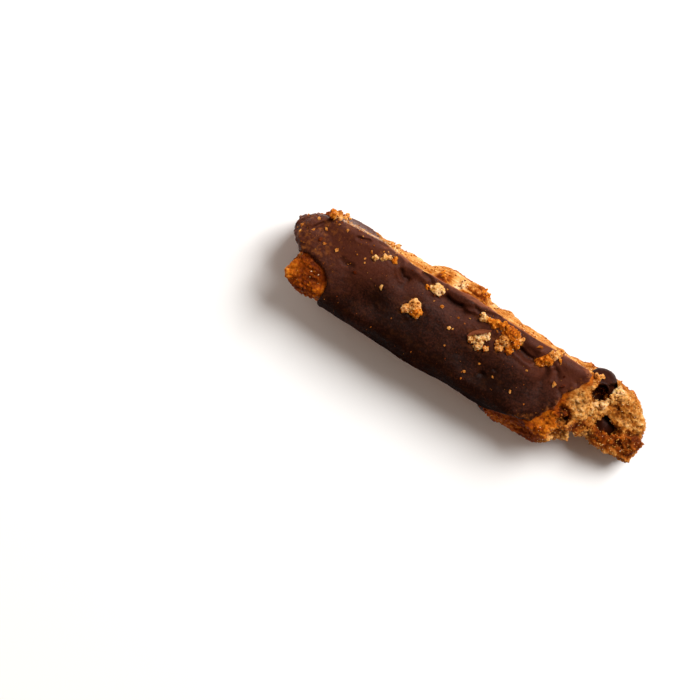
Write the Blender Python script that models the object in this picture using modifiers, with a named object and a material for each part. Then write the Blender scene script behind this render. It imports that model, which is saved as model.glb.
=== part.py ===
"""Chocolate topped chocolate chip cookie bar: a stick of crumbly cookie, snapped off at both ends.

It lies on its bare underside with the chocolate up. +X runs along the bar to the stepped break,
+Y to the bare cut side and +Z up. The origin is the middle of the footprint, on the table.

The cookie is the overlap of three outlines (plan, side and cross-section), remeshed to even
faces and then pushed along its normals: slow waves, dents, crumbs, and a shallow bed that the
chocolate lies in. The coat is lifted off that bed, so the two keep an even gap.
"""

import math

import bmesh
import bpy
from mathutils import Vector, noise

MM = 0.001

# Driving sizes, in millimetres.
LENGTH = 101.0
WIDTH = 21.2
HEIGHT = 17.2
COAT, THINNEST, THICKEST = 1.25, 0.4, 1.7
GAP = 0.4
PROUD = 0.45  # how far the coat stands above the bare cookie beside it
EVEN_FACE = 1.3  # edge length of the remeshed faces
COOKIE_KEPT = 0.53  # shares of the faces that are kept once flat stretches are thinned out
COAT_KEPT = 0.6
CREASE = math.radians(50.0)  # edges sharper than that are shaded sharp

# Plan outline (x, y), from the corner of the near side at the left end, anticlockwise.
BACK = 10.3
FRONT = BACK - WIDTH
PLAN = (
    (-42.5, FRONT), (28.4, FRONT), (31.4, -9.8), (33.4, -8.0), (34.6, -6.2), (35.6, -5.0),
    (39.6, -5.2), (45.0, -5.4), (48.6, -5.6), (51.0, -4.9), (51.3, -2.0), (50.8, 0.8),
    (49.2, 2.6), (48.5, 5.0), (46.6, 7.1), (45.2, 8.9), (43.2, 9.8), (38.6, 10.0), (31.0, 10.2),
    (24.0, 9.9), (10.0, BACK), (-38.8, BACK), (-43.4, 8.6), (-46.6, 7.1), (-49.2, 5.2),
    (-49.9, 3.4), (-49.0, 1.4), (-46.4, 0.2), (-45.4, -2.4), (-46.4, -4.6), (-47.0, -7.4),
    (-45.0, -9.8),
)  # fmt: skip
# Side outline (x, z): the chocolate side breaks off short of the underside.
SHELF = 10.2  # height of the broken step
SIDE = (
    (-47.4, 0.0), (50.0, 0.0), (51.6, 2.6), (51.4, 7.0), (48.6, 9.4), (43.0, SHELF),
    (38.0, SHELF + 0.8), (35.0, 13.0), (33.0, 15.6), (32.0, HEIGHT), (-47.2, HEIGHT),
    (-50.1, 14.4), (-50.4, 7.0), (-49.4, 2.4),
)  # fmt: skip
# Cross-section corner radii: the coated near edge is the roundest, the cut side is crisp.
NEAR_RADIUS, CUT_RADIUS, FOOT_RADIUS = 4.4, 1.9, 1.8
CORNER_STEPS = 5

# Swells of the sides: side (1 is the cut side), middle along the bar and half length, middle
# height and half height, and how far they stand out.
SWELLS = (
    (1, -7.4, 11.0, 6.0, 9.5, 2.6),
    (-1, 20.5, 15.0, 5.0, 10.0, 2.7),
    (-1, 0.0, 28.0, 10.0, 13.0, 0.4),
)
SWELL_SLOPE = 1.5  # above 1 the swells are blunt
# Unevenness of the whole bar and the two sizes of its crumbs, each as (size, height).
WAVES = ((17.0, 0.5), (6.5, 0.25))
GRAINS = ((3.4, 0.55), (1.9, 0.28))
BROKEN_FROM, BROKEN_RAMP = 27.0, 5.0  # x where the snapped end starts
ROUGHER = 0.5  # share by which its crumbs stand out further
FOOT_FROM, FOOT_RAMP = 0.9, 2.2  # heights over which the relief starts above the table
FLAT_BELOW = 0.75  # what lies lower is brought down to the table

# Where the chocolate ends, on the surface unrolled about the top: u along the bar and on down
# the left end, v across it and on down the sides. The coat stops INSET inside these lines.
INSET = 1.3
BREAK_EDGE = (
    (-14.0, 14.0), (-9.6, 20.5), (-8.2, 25.0), (-4.4, 26.3), (-2.4, 26.9), (-0.3, 27.8),
    (1.8, 28.1), (4.2, 29.7), (8.8, 31.8), (12.0, 32.0), (13.4, 30.6),
)  # (v, u)  # fmt: skip
NEAR_EDGE = (
    (-41.0, -8.0), (-35.0, -18.5), (-22.0, -20.5), (-8.0, -19.6), (4.0, -20.4), (11.0, -19.0),
    (15.0, -14.5), (18.6, -11.4), (21.5, -10.2), (25.0, -8.8), (32.0, -7.5),
)  # (u, v)  # fmt: skip
CUT_EDGE = (
    (-64.0, 21.5), (-37.0, 22.5), (-32.5, 22.0), (-29.8, 14.5), (-28.0, 13.3), (0.0, 13.3),
    (8.0, 12.6), (32.0, 12.6),
)  # (u, v)  # fmt: skip
END_EDGE = -58.5  # u, down on the left end
LOWEST = 4.5  # height above the table that the coat never goes below
BARE_CORNER = ((-43.6, -9.0), 6.9)  # broken off the coat: centre (u, v) and radius
TURNED_UNDER, UNDER_SLOPE = -0.75, 8.0  # normal from which the coat is left off, and its slope
RAGGED = ((4.2, 0.5), (1.9, 0.4))  # (size, depth) of the waves of the coat's edge
STRAIGHT = 0.7  # share of those waves that is taken off along the cut side
SIDE_ROLL, END_ROLL = (4.0, 3.0), (7.5, 4.0)  # where the unrolling starts, and over how much
BED_LEAD, BED_RAMP = 0.24, 1.2  # how the bed sinks in from the edge of the coated area
CRUMB_LEAD, CRUMB_RAMP = 0.14, 1.4  # how the crumbs start outside it

# Dents that the chocolate follows: centre x, y, half length, half width, turn in degrees, depth.
DENTS = (
    (-20.6, 7.2, 0.9, 2.9, 12.0, 1.0),
    (-15.4, 8.4, 2.2, 1.4, -20.0, 1.7),
    (-7.2, 7.2, 3.2, 1.4, -8.0, 2.0),
    (-1.2, 8.4, 1.1, 1.8, 20.0, 1.1),
    (14.1, 6.2, 3.0, 1.1, 6.0, 1.1),
    (-35.0, 2.0, 1.0, 3.0, 35.0, 0.9),
    (-43.6, 6.4, 0.7, 4.6, 40.0, 0.9),
    (21.5, 3.6, 0.9, 3.4, -8.0, 0.8),
    (-27.5, -4.2, 3.0, 2.2, 25.0, 0.8),
    (4.6, -3.6, 3.6, 2.0, -12.0, 0.7),
)  # fmt: skip
DENT_REACH, UPPER_SLOPE = 1.6, 1.6  # how far the dents and the rim spread out and down the sides
SPARED = 2.6  # width along the cut side over which they fade, so that its rim stays straight
BED_DENT = (0.4, 2.0)  # share of their depth in the bed, and how much wider they are there
TOP_DENT = (0.6, 0.2)  # the same in the coat itself
RIM = (9.2, 1.0, 0.45)  # ridge of the coat along the cut side: y, half width, height
RIM_REACH = 1.5

# Hollows in the broken end: centre, radii and unevenness.
HOLLOWS = (
    ((34.5, 6.4, 13.6), (2.9, 2.7, 4.6), 0.3),
    ((40.3, 0.0, 10.4), (3.4, 2.2, 3.8), 0.3),
    ((29.8, -3.0, 16.4), (1.7, 2.2, 2.6), 0.3),
    ((35.0, -9.8, 19.6), (8.0, 7.2, 7.6), 0.2),
)
# Slit between the block and the tip, in plan (x, y), through the whole height.
SLIT = ((31.4, -3.0), (32.3, -2.8), (34.3, -5.2), (37.0, -9.6), (35.2, -9.6), (33.2, -5.8))
# Chocolate chips: centre, radius, height, and where the tip points.
CHIPS = (
    ((34.1, 9.2, 11.6), 3.9, 5.2, (0.2, 0.75, 0.65)),
    ((40.3, -0.1, 6.6), 3.0, 4.0, (0.1, 0.3, 1.0)),
    ((-14.0, -8.8, 4.9), 4.1, 5.4, (0.2, -1.0, 0.15)),
    ((13.0, -10.8, 5.2), 3.6, 5.0, (-0.3, -1.0, -0.1)),
)
TORN = {1: 0}  # chips that a hollow is also torn into: number of the chip, place in HOLLOWS
CHIP_GAP = 0.3
CHIP_FOOT = (0.86, 0.32, 0.36)  # its foot: radius, and depth at the rim and in the middle
CHIP_STEPS, CHIP_TURNS = 7, 14

# Crumbs that are stuck to the coat: centre x, y, radii along, across and up, number of balls.
STUCK = (
    ((-42.0, 9.7), (2.7, 1.4, 1.4), 2),
    ((-27.2, 8.2), (2.1, 1.3, 0.9), 2),
    ((-14.9, 1.4), (2.5, 2.6, 2.1), 4),
    ((-12.3, 7.9), (2.2, 1.4, 1.1), 1),
    ((2.5, 3.0), (3.0, 2.2, 1.5), 3),
    ((3.2, 8.6), (2.9, 1.3, 1.0), 2),
    ((8.3, 6.9), (3.2, 3.5, 2.0), 6),
    ((19.0, 7.9), (3.0, 1.8, 1.3), 3),
)
# Crumbs that stand on the cut side: centre x, z, then the radii along, out and up.
ON_CUT_SIDE = (
    ((-27.2, 12.6), (1.9, 1.2, 1.7)),
    ((-12.6, 12.6), (2.3, 1.3, 1.9)),
    ((-5.0, 10.2), (4.2, 1.0, 3.0)),
    ((24.0, 11.6), (3.0, 1.0, 2.4)),
)
SPIRAL, SPREAD = math.radians(137.5), 0.62  # how the balls of a crumb are laid out
BALL, SMALLER = 0.72, 0.05  # size of its first ball as a share of the crumb, and of the next
SUNK, SIDE_SUNK = 0.35, 0.25  # how far above or below the surface their middles lie
UNEVEN = 0.5


def clear_scene():
    """Remove what a new file starts with."""
    for old in list(bpy.data.objects):
        bpy.data.objects.remove(old)


def new_collection(name, shown):
    """Make a collection in the scene; a hidden one holds cutters and guides."""
    made = bpy.data.collections.new(name)
    made.hide_render = not shown
    bpy.context.scene.collection.children.link(made)
    return made


def plain_material(name, colour, roughness):
    """Principled BSDF with a linear colour and a roughness."""
    made = bpy.data.materials.new(name)
    made.use_nodes = True
    shader = made.node_tree.nodes["Principled BSDF"]
    shader.inputs["Base Color"].default_value = (*colour, 1.0)
    shader.inputs["Roughness"].default_value = roughness
    shader.inputs["Metallic"].default_value = 0.0
    return made


def placed(name, mesh, collection):
    """Put a mesh in the scene as an object in that collection."""
    made = bpy.data.objects.new(name, mesh)
    collection.objects.link(made)
    made.hide_render = collection.hide_render
    if collection.hide_render:
        made.display_type = "WIRE"
    return made


def settle(obj):
    """Apply an object's modifiers."""
    bpy.context.view_layer.update()
    evaluated = obj.evaluated_get(bpy.context.evaluated_depsgraph_get())
    mesh = bpy.data.meshes.new_from_object(evaluated)
    obj.modifiers.clear()
    obj.data = mesh


def boolean(obj, other, operation):
    """Cut, join or intersect with another object, apply it and remove the other."""
    step = obj.modifiers.new(operation.lower(), "BOOLEAN")
    step.operation = operation
    step.solver = "MANIFOLD"
    step.object = other
    settle(obj)
    bpy.data.objects.remove(other)


def extruded(name, outline, low, high, axes, collection):
    """Solid of a flat outline between two heights; axes names where its three directions go."""
    curve = bpy.data.curves.new(name, "CURVE")
    curve.dimensions = "2D"
    curve.fill_mode = "BOTH"
    curve.extrude = (high - low) / 2 * MM
    line = curve.splines.new("POLY")
    line.points.add(len(outline) - 1)
    for point, (across, up) in zip(line.points, outline):
        point.co = (across * MM, up * MM, 0.0, 1.0)
    line.use_cyclic_u = True
    guide = placed(name + "_outline", curve, collection)
    bpy.context.view_layer.update()
    mesh = bpy.data.meshes.new_from_object(guide.evaluated_get(bpy.context.evaluated_depsgraph_get()))
    bpy.data.objects.remove(guide)
    middle = (low + high) / 2 * MM
    for vertex in mesh.vertices:
        flat = (vertex.co.x, vertex.co.y, vertex.co.z + middle)
        vertex.co = [flat[axes.index(axis)] for axis in "xyz"]
    shape = bmesh.new()
    shape.from_mesh(mesh)
    bmesh.ops.remove_doubles(shape, verts=shape.verts, dist=0.01 * MM)
    bmesh.ops.recalc_face_normals(shape, faces=shape.faces)
    shape.to_mesh(mesh)
    shape.free()
    return placed(name, mesh, collection)


def section_outline():
    """Cross-section (y, z) with its four rounded corners."""
    corners = (
        (FRONT, 0.0, FOOT_RADIUS, 180.0),
        (BACK, 0.0, FOOT_RADIUS, 270.0),
        (BACK, HEIGHT, CUT_RADIUS, 0.0),
        (FRONT, HEIGHT, NEAR_RADIUS, 90.0),
    )
    outline = []
    for y, z, radius, start in corners:
        centre_y = y - math.copysign(radius, y)
        centre_z = radius if z == 0.0 else z - radius
        for step in range(CORNER_STEPS + 1):
            angle = math.radians(start + 90.0 * step / CORNER_STEPS)
            outline.append((centre_y + radius * math.cos(angle), centre_z + radius * math.sin(angle)))
    return outline


def lump(name, centre, radii, detail, collection, seed, roughness):
    """Uneven ball: an icosphere pushed in and out by noise."""
    shape = bmesh.new()
    bmesh.ops.create_icosphere(shape, subdivisions=detail, radius=1.0)
    for vertex in shape.verts:
        swell = 1.0 + roughness * noise.noise(vertex.co * 1.7 + Vector((seed, seed, seed)))
        vertex.co = [(c + v * swell * r) * MM for c, v, r in zip(centre, vertex.co, radii)]
    mesh = bpy.data.meshes.new(name)
    shape.to_mesh(mesh)
    shape.free()
    return placed(name, mesh, collection)


def between(points, at):
    """Straight-line reading of a list of (position, value)."""
    for (start, low), (end, high) in zip(points, points[1:]):
        if at <= end:
            return low + (high - low) * max(0.0, at - start) / (end - start)
    return points[-1][1]


def smooth_step(value):
    """0 below 0, 1 above 1, and a smooth rise between."""
    value = min(1.0, max(0.0, value))
    return value * value * (3.0 - 2.0 * value)


def unrolled(point):
    """(u, v) of a surface point in millimetres, unrolled about the top face."""
    x, y, z = point
    drop = max(0.0, HEIGHT - z)
    side_start, side_run = SIDE_ROLL
    end_start, end_run = END_ROLL
    on_side = smooth_step((abs(y) - (WIDTH / 2 - side_start)) / side_run)
    at_end = smooth_step((-x - (LENGTH / 2 - end_start)) / end_run) * (1.0 - on_side)
    return x - drop * at_end, y + math.copysign(drop * on_side, y)


def covered(point, normal):
    """Distance into the coated area from its edge, in millimetres; below 0 it is bare."""
    u, v = unrolled(point)
    centre, radius = BARE_CORNER
    depth = min(
        between(BREAK_EDGE, v) - u,
        v - between(NEAR_EDGE, u),
        between(CUT_EDGE, u) - v,
        u - END_EDGE,
        math.hypot(u - centre[0], v - centre[1]) - radius,
        (normal.z - TURNED_UNDER) * UNDER_SLOPE,
        point[2] - LOWEST,
    )
    share = 1.0 - STRAIGHT * smooth_step(v - BACK + SIDE_ROLL[0])
    for size, height in RAGGED:
        depth += share * height * noise.noise(Vector(point) / size)
    return depth


def waves(point):
    """Slow unevenness of the whole bar, in millimetres."""
    total = 0.0
    for number, (size, height) in enumerate(WAVES):
        total += height * noise.noise(Vector(point) / size + Vector((7.0, 0.0, 0.0)) * number)
    return total


def dent(point, normal, softened):
    """Depth of the dents on the chocolate side; softened widens them, in millimetres."""
    x, y, _ = point
    total = 0.0
    for centre_x, centre_y, half_length, half_width, turn, depth in DENTS:
        angle = math.radians(turn)
        along = (x - centre_x) * math.cos(angle) + (y - centre_y) * math.sin(angle)
        across = (y - centre_y) * math.cos(angle) - (x - centre_x) * math.sin(angle)
        far = math.hypot(along / (half_length + softened), across / (half_width + softened))
        total -= depth * smooth_step(DENT_REACH - far)
    return total * smooth_step(normal.z * UPPER_SLOPE) * smooth_step((BACK - y) / SPARED)


def swell(point):
    """How far the sides swell outwards, along y in millimetres."""
    x, y, z = point
    total = 0.0
    for side, middle_x, half_length, middle_z, half_height, height in SWELLS:
        far = math.hypot((x - middle_x) / half_length, (z - middle_z) / half_height)
        on_side = smooth_step(2.0 * side * y / BACK - 1.0)
        total += side * height * smooth_step(SWELL_SLOPE * (1.0 - far)) * on_side
    return total


def crumb(point):
    """Height of the crumbly surface in millimetres: rounded grains of two sizes."""
    total = 0.0
    for number, (size, height) in enumerate(GRAINS):
        shift = Vector((3.0, 0.0, 5.0)) * number
        total += height * (1.0 - 2.0 * noise.voronoi(Vector(point) / size + shift)[0][0])
    return total


def broken(point):
    """1 on the snapped end, 0 elsewhere."""
    return smooth_step((point[0] - BROKEN_FROM) / BROKEN_RAMP)


def off_floor(point):
    """0 at the underside, 1 well above it."""
    return smooth_step((point[2] - FOOT_FROM) / FOOT_RAMP)


def push(mesh, relief):
    """Move each vertex by relief(point, normal), a vector in millimetres."""
    moves = []
    for vertex in mesh.vertices:
        point = tuple(value / MM for value in vertex.co)
        moves.append(relief(point, vertex.normal) * MM)
    for vertex, move in zip(mesh.vertices, moves):
        vertex.co += move
    mesh.update()


def make_block(guides):
    """Bare form of the bar, in even faces, before its relief."""
    bar = extruded("cookie", PLAN, 0.0, HEIGHT, "xyz", guides)
    boolean(bar, extruded("side", SIDE, -WIDTH, WIDTH, "xzy", guides), "INTERSECT")
    boolean(bar, extruded("section", section_outline(), -LENGTH, LENGTH, "yzx", guides), "INTERSECT")
    even = bar.modifiers.new("even faces", "REMESH")
    even.mode = "VOXEL"
    even.voxel_size = EVEN_FACE * MM
    ease = bar.modifiers.new("ease edges", "SMOOTH")
    ease.factor = 0.5
    ease.iterations = 2
    settle(bar)
    return bar


def bed_relief(point, normal):
    """Waves, swells and wide dents, and the bed that the coat lies in."""
    bed = COAT + GAP - PROUD
    share, wider = BED_DENT
    sunk = bed * smooth_step((covered(point, normal) + BED_LEAD) / BED_RAMP)
    down = Vector((0.0, 0.0, share * dent(point, normal, wider)))
    outward = Vector((0.0, swell(point), 0.0))
    return (normal * (waves(point) - sunk) + down) * off_floor(point) + outward


def skin(point, normal):
    """Thickness of the coat: thin in the narrow dents and thick in the rim along the cut side."""
    ridge_y, half_width, height = RIM
    share, wider = TOP_DENT
    far = abs(point[1] - ridge_y) / half_width
    ridge = height * smooth_step(RIM_REACH - far) * smooth_step(normal.z * UPPER_SLOPE)
    return min(max(COAT + ridge + share * dent(point, normal, wider), THINNEST), THICKEST)


def crumb_relief(point, normal):
    """Crumbs where the cookie is bare."""
    bare = smooth_step((-covered(point, normal) - CRUMB_LEAD) / CRUMB_RAMP)
    return normal * (crumb(point) * bare * (1.0 + ROUGHER * broken(point)) * off_floor(point))


def make_coat(bed, parts):
    """Chocolate skin over the bed: its faces are lifted by the gap and given their thickness."""
    coat = placed("chocolate_coat", bed.data.copy(), parts)
    shape = bmesh.new()
    shape.from_mesh(coat.data)
    bare = []
    for face in shape.faces:
        point = tuple(value / MM for value in face.calc_center_median())
        if covered(point, face.normal) < INSET:
            bare.append(face)
    bmesh.ops.delete(shape, geom=bare, context="FACES")
    keep_largest(shape)
    edge = [vertex for vertex in shape.verts if vertex.is_boundary]
    for _ in range(3):
        ease_edge(edge, bed)
    shape.normal_update()
    lift = [vertex.normal * (GAP * MM) for vertex in shape.verts]
    for vertex, move in zip(shape.verts, lift):
        vertex.co += move
    shape.to_mesh(coat.data)
    shape.free()
    thin_out(coat, COAT_KEPT)
    thickness = coat.vertex_groups.new(name="thickness")
    for vertex in coat.data.vertices:
        point = tuple(value / MM for value in vertex.co)
        thickness.add([vertex.index], skin(point, vertex.normal) / THICKEST, "REPLACE")
    shell = coat.modifiers.new("thickness", "SOLIDIFY")
    shell.thickness = THICKEST * MM
    shell.offset = 1.0
    shell.vertex_group = thickness.name
    settle(coat)
    return coat


def keep_largest(shape):
    """Delete every patch of faces but the largest."""
    left = set(shape.faces)
    patches = []
    while left:
        patch, queue = set(), [left.pop()]
        while queue:
            face = queue.pop()
            patch.add(face)
            for edge in face.edges:
                for other in edge.link_faces:
                    if other in left:
                        left.remove(other)
                        queue.append(other)
        patches.append(patch)
    patches.sort(key=len)
    loose = [face for patch in patches[:-1] for face in patch]
    bmesh.ops.delete(shape, geom=loose, context="FACES")


def ease_edge(edge, surface):
    """Draw each vertex of an open edge half way to the middle of its neighbours, on a surface."""
    targets = []
    for vertex in edge:
        near = [link.other_vert(vertex) for link in vertex.link_edges if link.is_boundary]
        middle = sum((other.co for other in near), Vector()) / len(near)
        targets.append(vertex.co.lerp(middle, 0.5))
    for vertex, target in zip(edge, targets):
        vertex.co = surface.closest_point_on_mesh(target)[1]


def make_chip(name, centre, radius, height, points_to, collection, grown=0.0):
    """Chocolate chip: a turned drop with a flat foot, tip along points_to."""
    profile = []
    for step in range(CHIP_STEPS + 1):
        angle = math.pi / 2 * step / CHIP_STEPS
        profile.append(((radius + grown) * math.sin(angle), (height / 2 + grown) * math.cos(angle)))
    foot, rim, middle = CHIP_FOOT
    profile += [(radius * foot + grown, -height * rim - grown), (0.0, -height * middle - grown)]
    mesh = bpy.data.meshes.new(name)
    vertices = [(out * MM, 0.0, up * MM) for out, up in profile]
    mesh.from_pydata(vertices, [(i, i + 1) for i in range(len(vertices) - 1)], [])
    chip = placed(name, mesh, collection)
    turn = chip.modifiers.new("turn", "SCREW")
    turn.steps = turn.render_steps = CHIP_TURNS
    turn.use_merge_vertices = True
    turn.merge_threshold = 0.00005
    settle(chip)
    chip.rotation_euler = Vector(points_to).to_track_quat("Z", "Y").to_euler()
    chip.location = Vector(centre) * MM
    return chip


def make_hollow(number, collection):
    """Cutter of one hollow of the broken end, by its place in HOLLOWS."""
    centre, radii, roughness = HOLLOWS[number]
    return lump("hollow", centre, radii, 3, collection, number, roughness)


def top_of(point_x, point_y, surface):
    """Height of a surface above a place of the plan, in millimetres."""
    start = Vector((point_x * MM, point_y * MM, 2.0 * HEIGHT * MM))
    hit, place, _, _ = surface.ray_cast(start, Vector((0.0, 0.0, -1.0)))
    return place.z / MM if hit else HEIGHT


def side_of(point_x, point_z, surface):
    """Reach of a surface on the cut side, in millimetres."""
    start = Vector((point_x * MM, 2.0 * WIDTH * MM, point_z * MM))
    hit, place, _, _ = surface.ray_cast(start, Vector((0.0, -1.0, 0.0)))
    return place.y / MM if hit else WIDTH / 2


def join_all(obj, joined):
    """One Boolean union with everything in a collection, which is then removed."""
    step = obj.modifiers.new("join", "BOOLEAN")
    step.operation = "UNION"
    step.solver = "MANIFOLD"
    step.operand_type = "COLLECTION"
    step.collection = joined
    settle(obj)
    for helper in list(joined.objects):
        bpy.data.objects.remove(helper)
    drop_scraps(obj)


def drop_scraps(obj):
    """Keep the outer surface alone: sealed hollows and loose scraps are patches of their own."""
    shape = bmesh.new()
    shape.from_mesh(obj.data)
    keep_largest(shape)
    shape.to_mesh(obj.data)
    shape.free()


def stick_crumbs(coat):
    """Fuse the larger crumbs to the coat, each a few uneven balls that overlap."""
    crumbs = new_collection("crumbs on the coat", shown=False)
    for number, ((x, y), (along, across, up), balls) in enumerate(STUCK):
        for ball in range(balls):
            angle = SPIRAL * ball + number
            spread = SPREAD * math.sqrt(ball / balls)
            size = 1.0 if balls == 1 else BALL - SMALLER * ball
            place_x = x + along * spread * math.cos(angle)
            place_y = y + across * spread * math.sin(angle)
            radii = (along * size, across * size, up * size)
            centre = (place_x, place_y, top_of(place_x, place_y, coat) + SUNK * radii[2])
            detail = 2 if max(radii) > 1.5 else 1
            lump(f"crumb_{number}_{ball}", centre, radii, detail, crumbs, number + 0.37 * ball, UNEVEN)
    join_all(coat, crumbs)


def stick_side_crumbs(cookie):
    """Fuse the larger crumbs to the bare cut side."""
    crumbs = new_collection("crumbs on the cut side", shown=False)
    for number, ((x, z), (along, out, up)) in enumerate(ON_CUT_SIDE):
        reach = side_of(x, z, cookie)
        centre = (x, reach - SIDE_SUNK * out, z)
        lump(f"side_crumb_{number}", centre, (along, out, up), 2, crumbs, number + 20.0, UNEVEN)
    join_all(cookie, crumbs)


def flatten_foot(mesh):
    """Bring the underside to one plane on the table."""
    for vertex in mesh.vertices:
        if vertex.co.z < FLAT_BELOW * MM:
            vertex.co.z = 0.0
    mesh.update()


def thin_out(obj, share):
    """Merge faces where the surface is flat, down to a share of them."""
    fewer = obj.modifiers.new("fewer faces", "DECIMATE")
    fewer.ratio = share
    settle(obj)


def centre_on_footprint(pieces):
    """Shift the pieces so that the middle of their common footprint is the origin."""
    bpy.context.view_layer.update()
    corners = [piece.matrix_world @ vertex.co for piece in pieces for vertex in piece.data.vertices]
    for axis in (0, 1):
        reach = [corner[axis] for corner in corners]
        middle = (min(reach) + max(reach)) / 2
        for piece in pieces:
            piece.location[axis] -= middle


def build():
    """Make the cookie, its chips and its chocolate coat."""
    clear_scene()
    parts = new_collection("cookie_bar", shown=True)
    guides = new_collection("guides", shown=False)
    biscuit = plain_material("baked cookie", (0.45, 0.19, 0.05), 0.85)
    chocolate = plain_material("dark chocolate", (0.055, 0.016, 0.008), 0.45)

    block = make_block(guides)
    push(block.data, bed_relief)
    coat = make_coat(block, parts)

    cookie = placed("cookie", block.data.copy(), parts)
    bpy.data.objects.remove(block)
    cookie.name = "cookie"
    push(cookie.data, crumb_relief)
    for number in range(len(HOLLOWS)):
        boolean(cookie, make_hollow(number, guides), "DIFFERENCE")
    boolean(cookie, extruded("slit", SLIT, -HEIGHT, 2.0 * HEIGHT, "xyz", guides), "DIFFERENCE")
    stick_side_crumbs(cookie)
    drop_scraps(cookie)
    thin_out(cookie, COOKIE_KEPT)
    flatten_foot(cookie.data)
    for number, (centre, radius, height, points_to) in enumerate(CHIPS, start=1):
        socket = make_chip("socket", centre, radius, height, points_to, guides, grown=CHIP_GAP)
        boolean(cookie, socket, "DIFFERENCE")
        chip = make_chip(f"chip_{number}", centre, radius, height, points_to, parts)
        if number in TORN:
            boolean(chip, make_hollow(TORN[number], guides), "DIFFERENCE")
        chip.data.materials.append(chocolate)
    stick_crumbs(coat)

    cookie.data.materials.clear()
    cookie.data.materials.append(biscuit)
    coat.data.materials.clear()
    coat.data.materials.append(chocolate)
    for piece in parts.objects:
        piece.data.shade_smooth()
        piece.data.set_sharp_from_angle(angle=CREASE)
    centre_on_footprint(list(parts.objects))


build()
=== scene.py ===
"""Looks of a chocolate topped cookie bar that lies on its bare back, built around its CAD frame.

The cookie and its coat are made anew from merged copies of their CAD nodes: crumbs are set into
the bare cookie, both are remeshed finely and roughened by layers of displacement, and the crumbs
and sugar that lie on them are strewn by seeded draws. Lengths are in millimetres until a mesh is
made.
"""

import logging
import math
from collections.abc import Callable, Iterable
from dataclasses import dataclass, field
from enum import Enum

import bpy
import numpy as np
from mathutils import Matrix, Vector, noise
from mathutils.bvhtree import BVHTree


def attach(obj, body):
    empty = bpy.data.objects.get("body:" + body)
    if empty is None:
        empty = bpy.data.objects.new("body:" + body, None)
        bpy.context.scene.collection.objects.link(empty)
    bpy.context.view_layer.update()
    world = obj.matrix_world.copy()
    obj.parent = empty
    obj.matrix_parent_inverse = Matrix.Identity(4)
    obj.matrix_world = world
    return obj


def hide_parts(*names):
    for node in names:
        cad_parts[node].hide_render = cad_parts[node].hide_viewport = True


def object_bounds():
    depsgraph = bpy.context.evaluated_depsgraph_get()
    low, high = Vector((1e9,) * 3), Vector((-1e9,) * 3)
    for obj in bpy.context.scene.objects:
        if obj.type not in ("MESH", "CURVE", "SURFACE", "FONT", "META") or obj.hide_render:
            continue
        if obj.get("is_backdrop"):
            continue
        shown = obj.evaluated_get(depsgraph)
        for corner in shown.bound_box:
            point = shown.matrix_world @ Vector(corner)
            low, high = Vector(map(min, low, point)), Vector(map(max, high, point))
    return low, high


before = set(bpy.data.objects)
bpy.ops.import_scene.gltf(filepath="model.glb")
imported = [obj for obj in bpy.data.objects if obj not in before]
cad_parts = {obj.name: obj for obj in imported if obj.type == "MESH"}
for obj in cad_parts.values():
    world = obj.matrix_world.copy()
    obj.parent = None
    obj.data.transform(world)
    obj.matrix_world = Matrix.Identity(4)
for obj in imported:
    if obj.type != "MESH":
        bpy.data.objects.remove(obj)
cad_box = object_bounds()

LOG = logging.getLogger("cookie_bar")
MM = 0.001
BODY = "root"
SKY = 60.0  # height in millimetres from which the bar's surface is looked for
FAR = 1e9  # millimetres, farther than anything on the bar
SAME_POINT = 0.002  # millimetres within which two corners of a CAD node are one
ENDS = "ends"  # vertex group of the coat's two snapped ends

Mould = tuple[np.ndarray, np.ndarray]
Inputs = dict[str | int, object]
PixelPath = tuple[tuple[float, float], ...]


class Slot(Enum):
    """Material slots that the finishes belong to."""

    COOKIE = "cookie"
    CHOCOLATE = "chocolate"
    CHIP = "chip"


class Toast(Enum):
    """How brown a crumb is baked, as the crumb finish reads it from 0 to 1."""

    CREAM = 0.3
    PALE = 0.36
    GOLDEN = 0.4
    ORANGE = 0.45
    BROWN = 0.8


class Pattern(Enum):
    """Noise that draws a layer of relief."""

    CLOUDS = "BLENDER_ORIGINAL"
    DOMES = "VORONOI_F1"


class Zone(Enum):
    """Kinds of bare cookie, each a vertex group of the cookie."""

    BARE = "bare"
    CRUMBLY = "crumbly"
    CUT = "cut"
    INSIDE = "inside"
    BAKED = "baked"


# ---------------------------------------------------------------------------------------------
# Small tools
# ---------------------------------------------------------------------------------------------


def linear(hex_colour: str) -> tuple[float, float, float, float]:
    """Turn an sRGB hex value into the linear colour that a shader takes.

    Args:
        hex_colour: "#rrggbb".

    Returns:
        Red, green, blue and an alpha of 1.
    """
    parts = [int(hex_colour[i : i + 2], 16) / 255 for i in (1, 3, 5)]
    red, green, blue = (c / 12.92 if c <= 0.04045 else ((c + 0.055) / 1.055) ** 2.4 for c in parts)
    return red, green, blue, 1.0


def per(millimetres: float) -> float:
    """Texture scale on Object coordinates for a pattern whose grain is that many millimetres."""
    return 1.0 / (millimetres * MM)


def smooth(low: float, high: float, value: np.ndarray | float) -> np.ndarray:
    """Rise smoothly from 0 at low to 1 at high.

    Args:
        low: where the rise starts.
        high: where it ends; below low for a fall.
        value: what is read.

    Returns:
        The share, from 0 to 1, of each value.
    """
    share = np.clip((value - low) / (high - low), 0.0, 1.0)
    return share * share * (3.0 - 2.0 * share)


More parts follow.
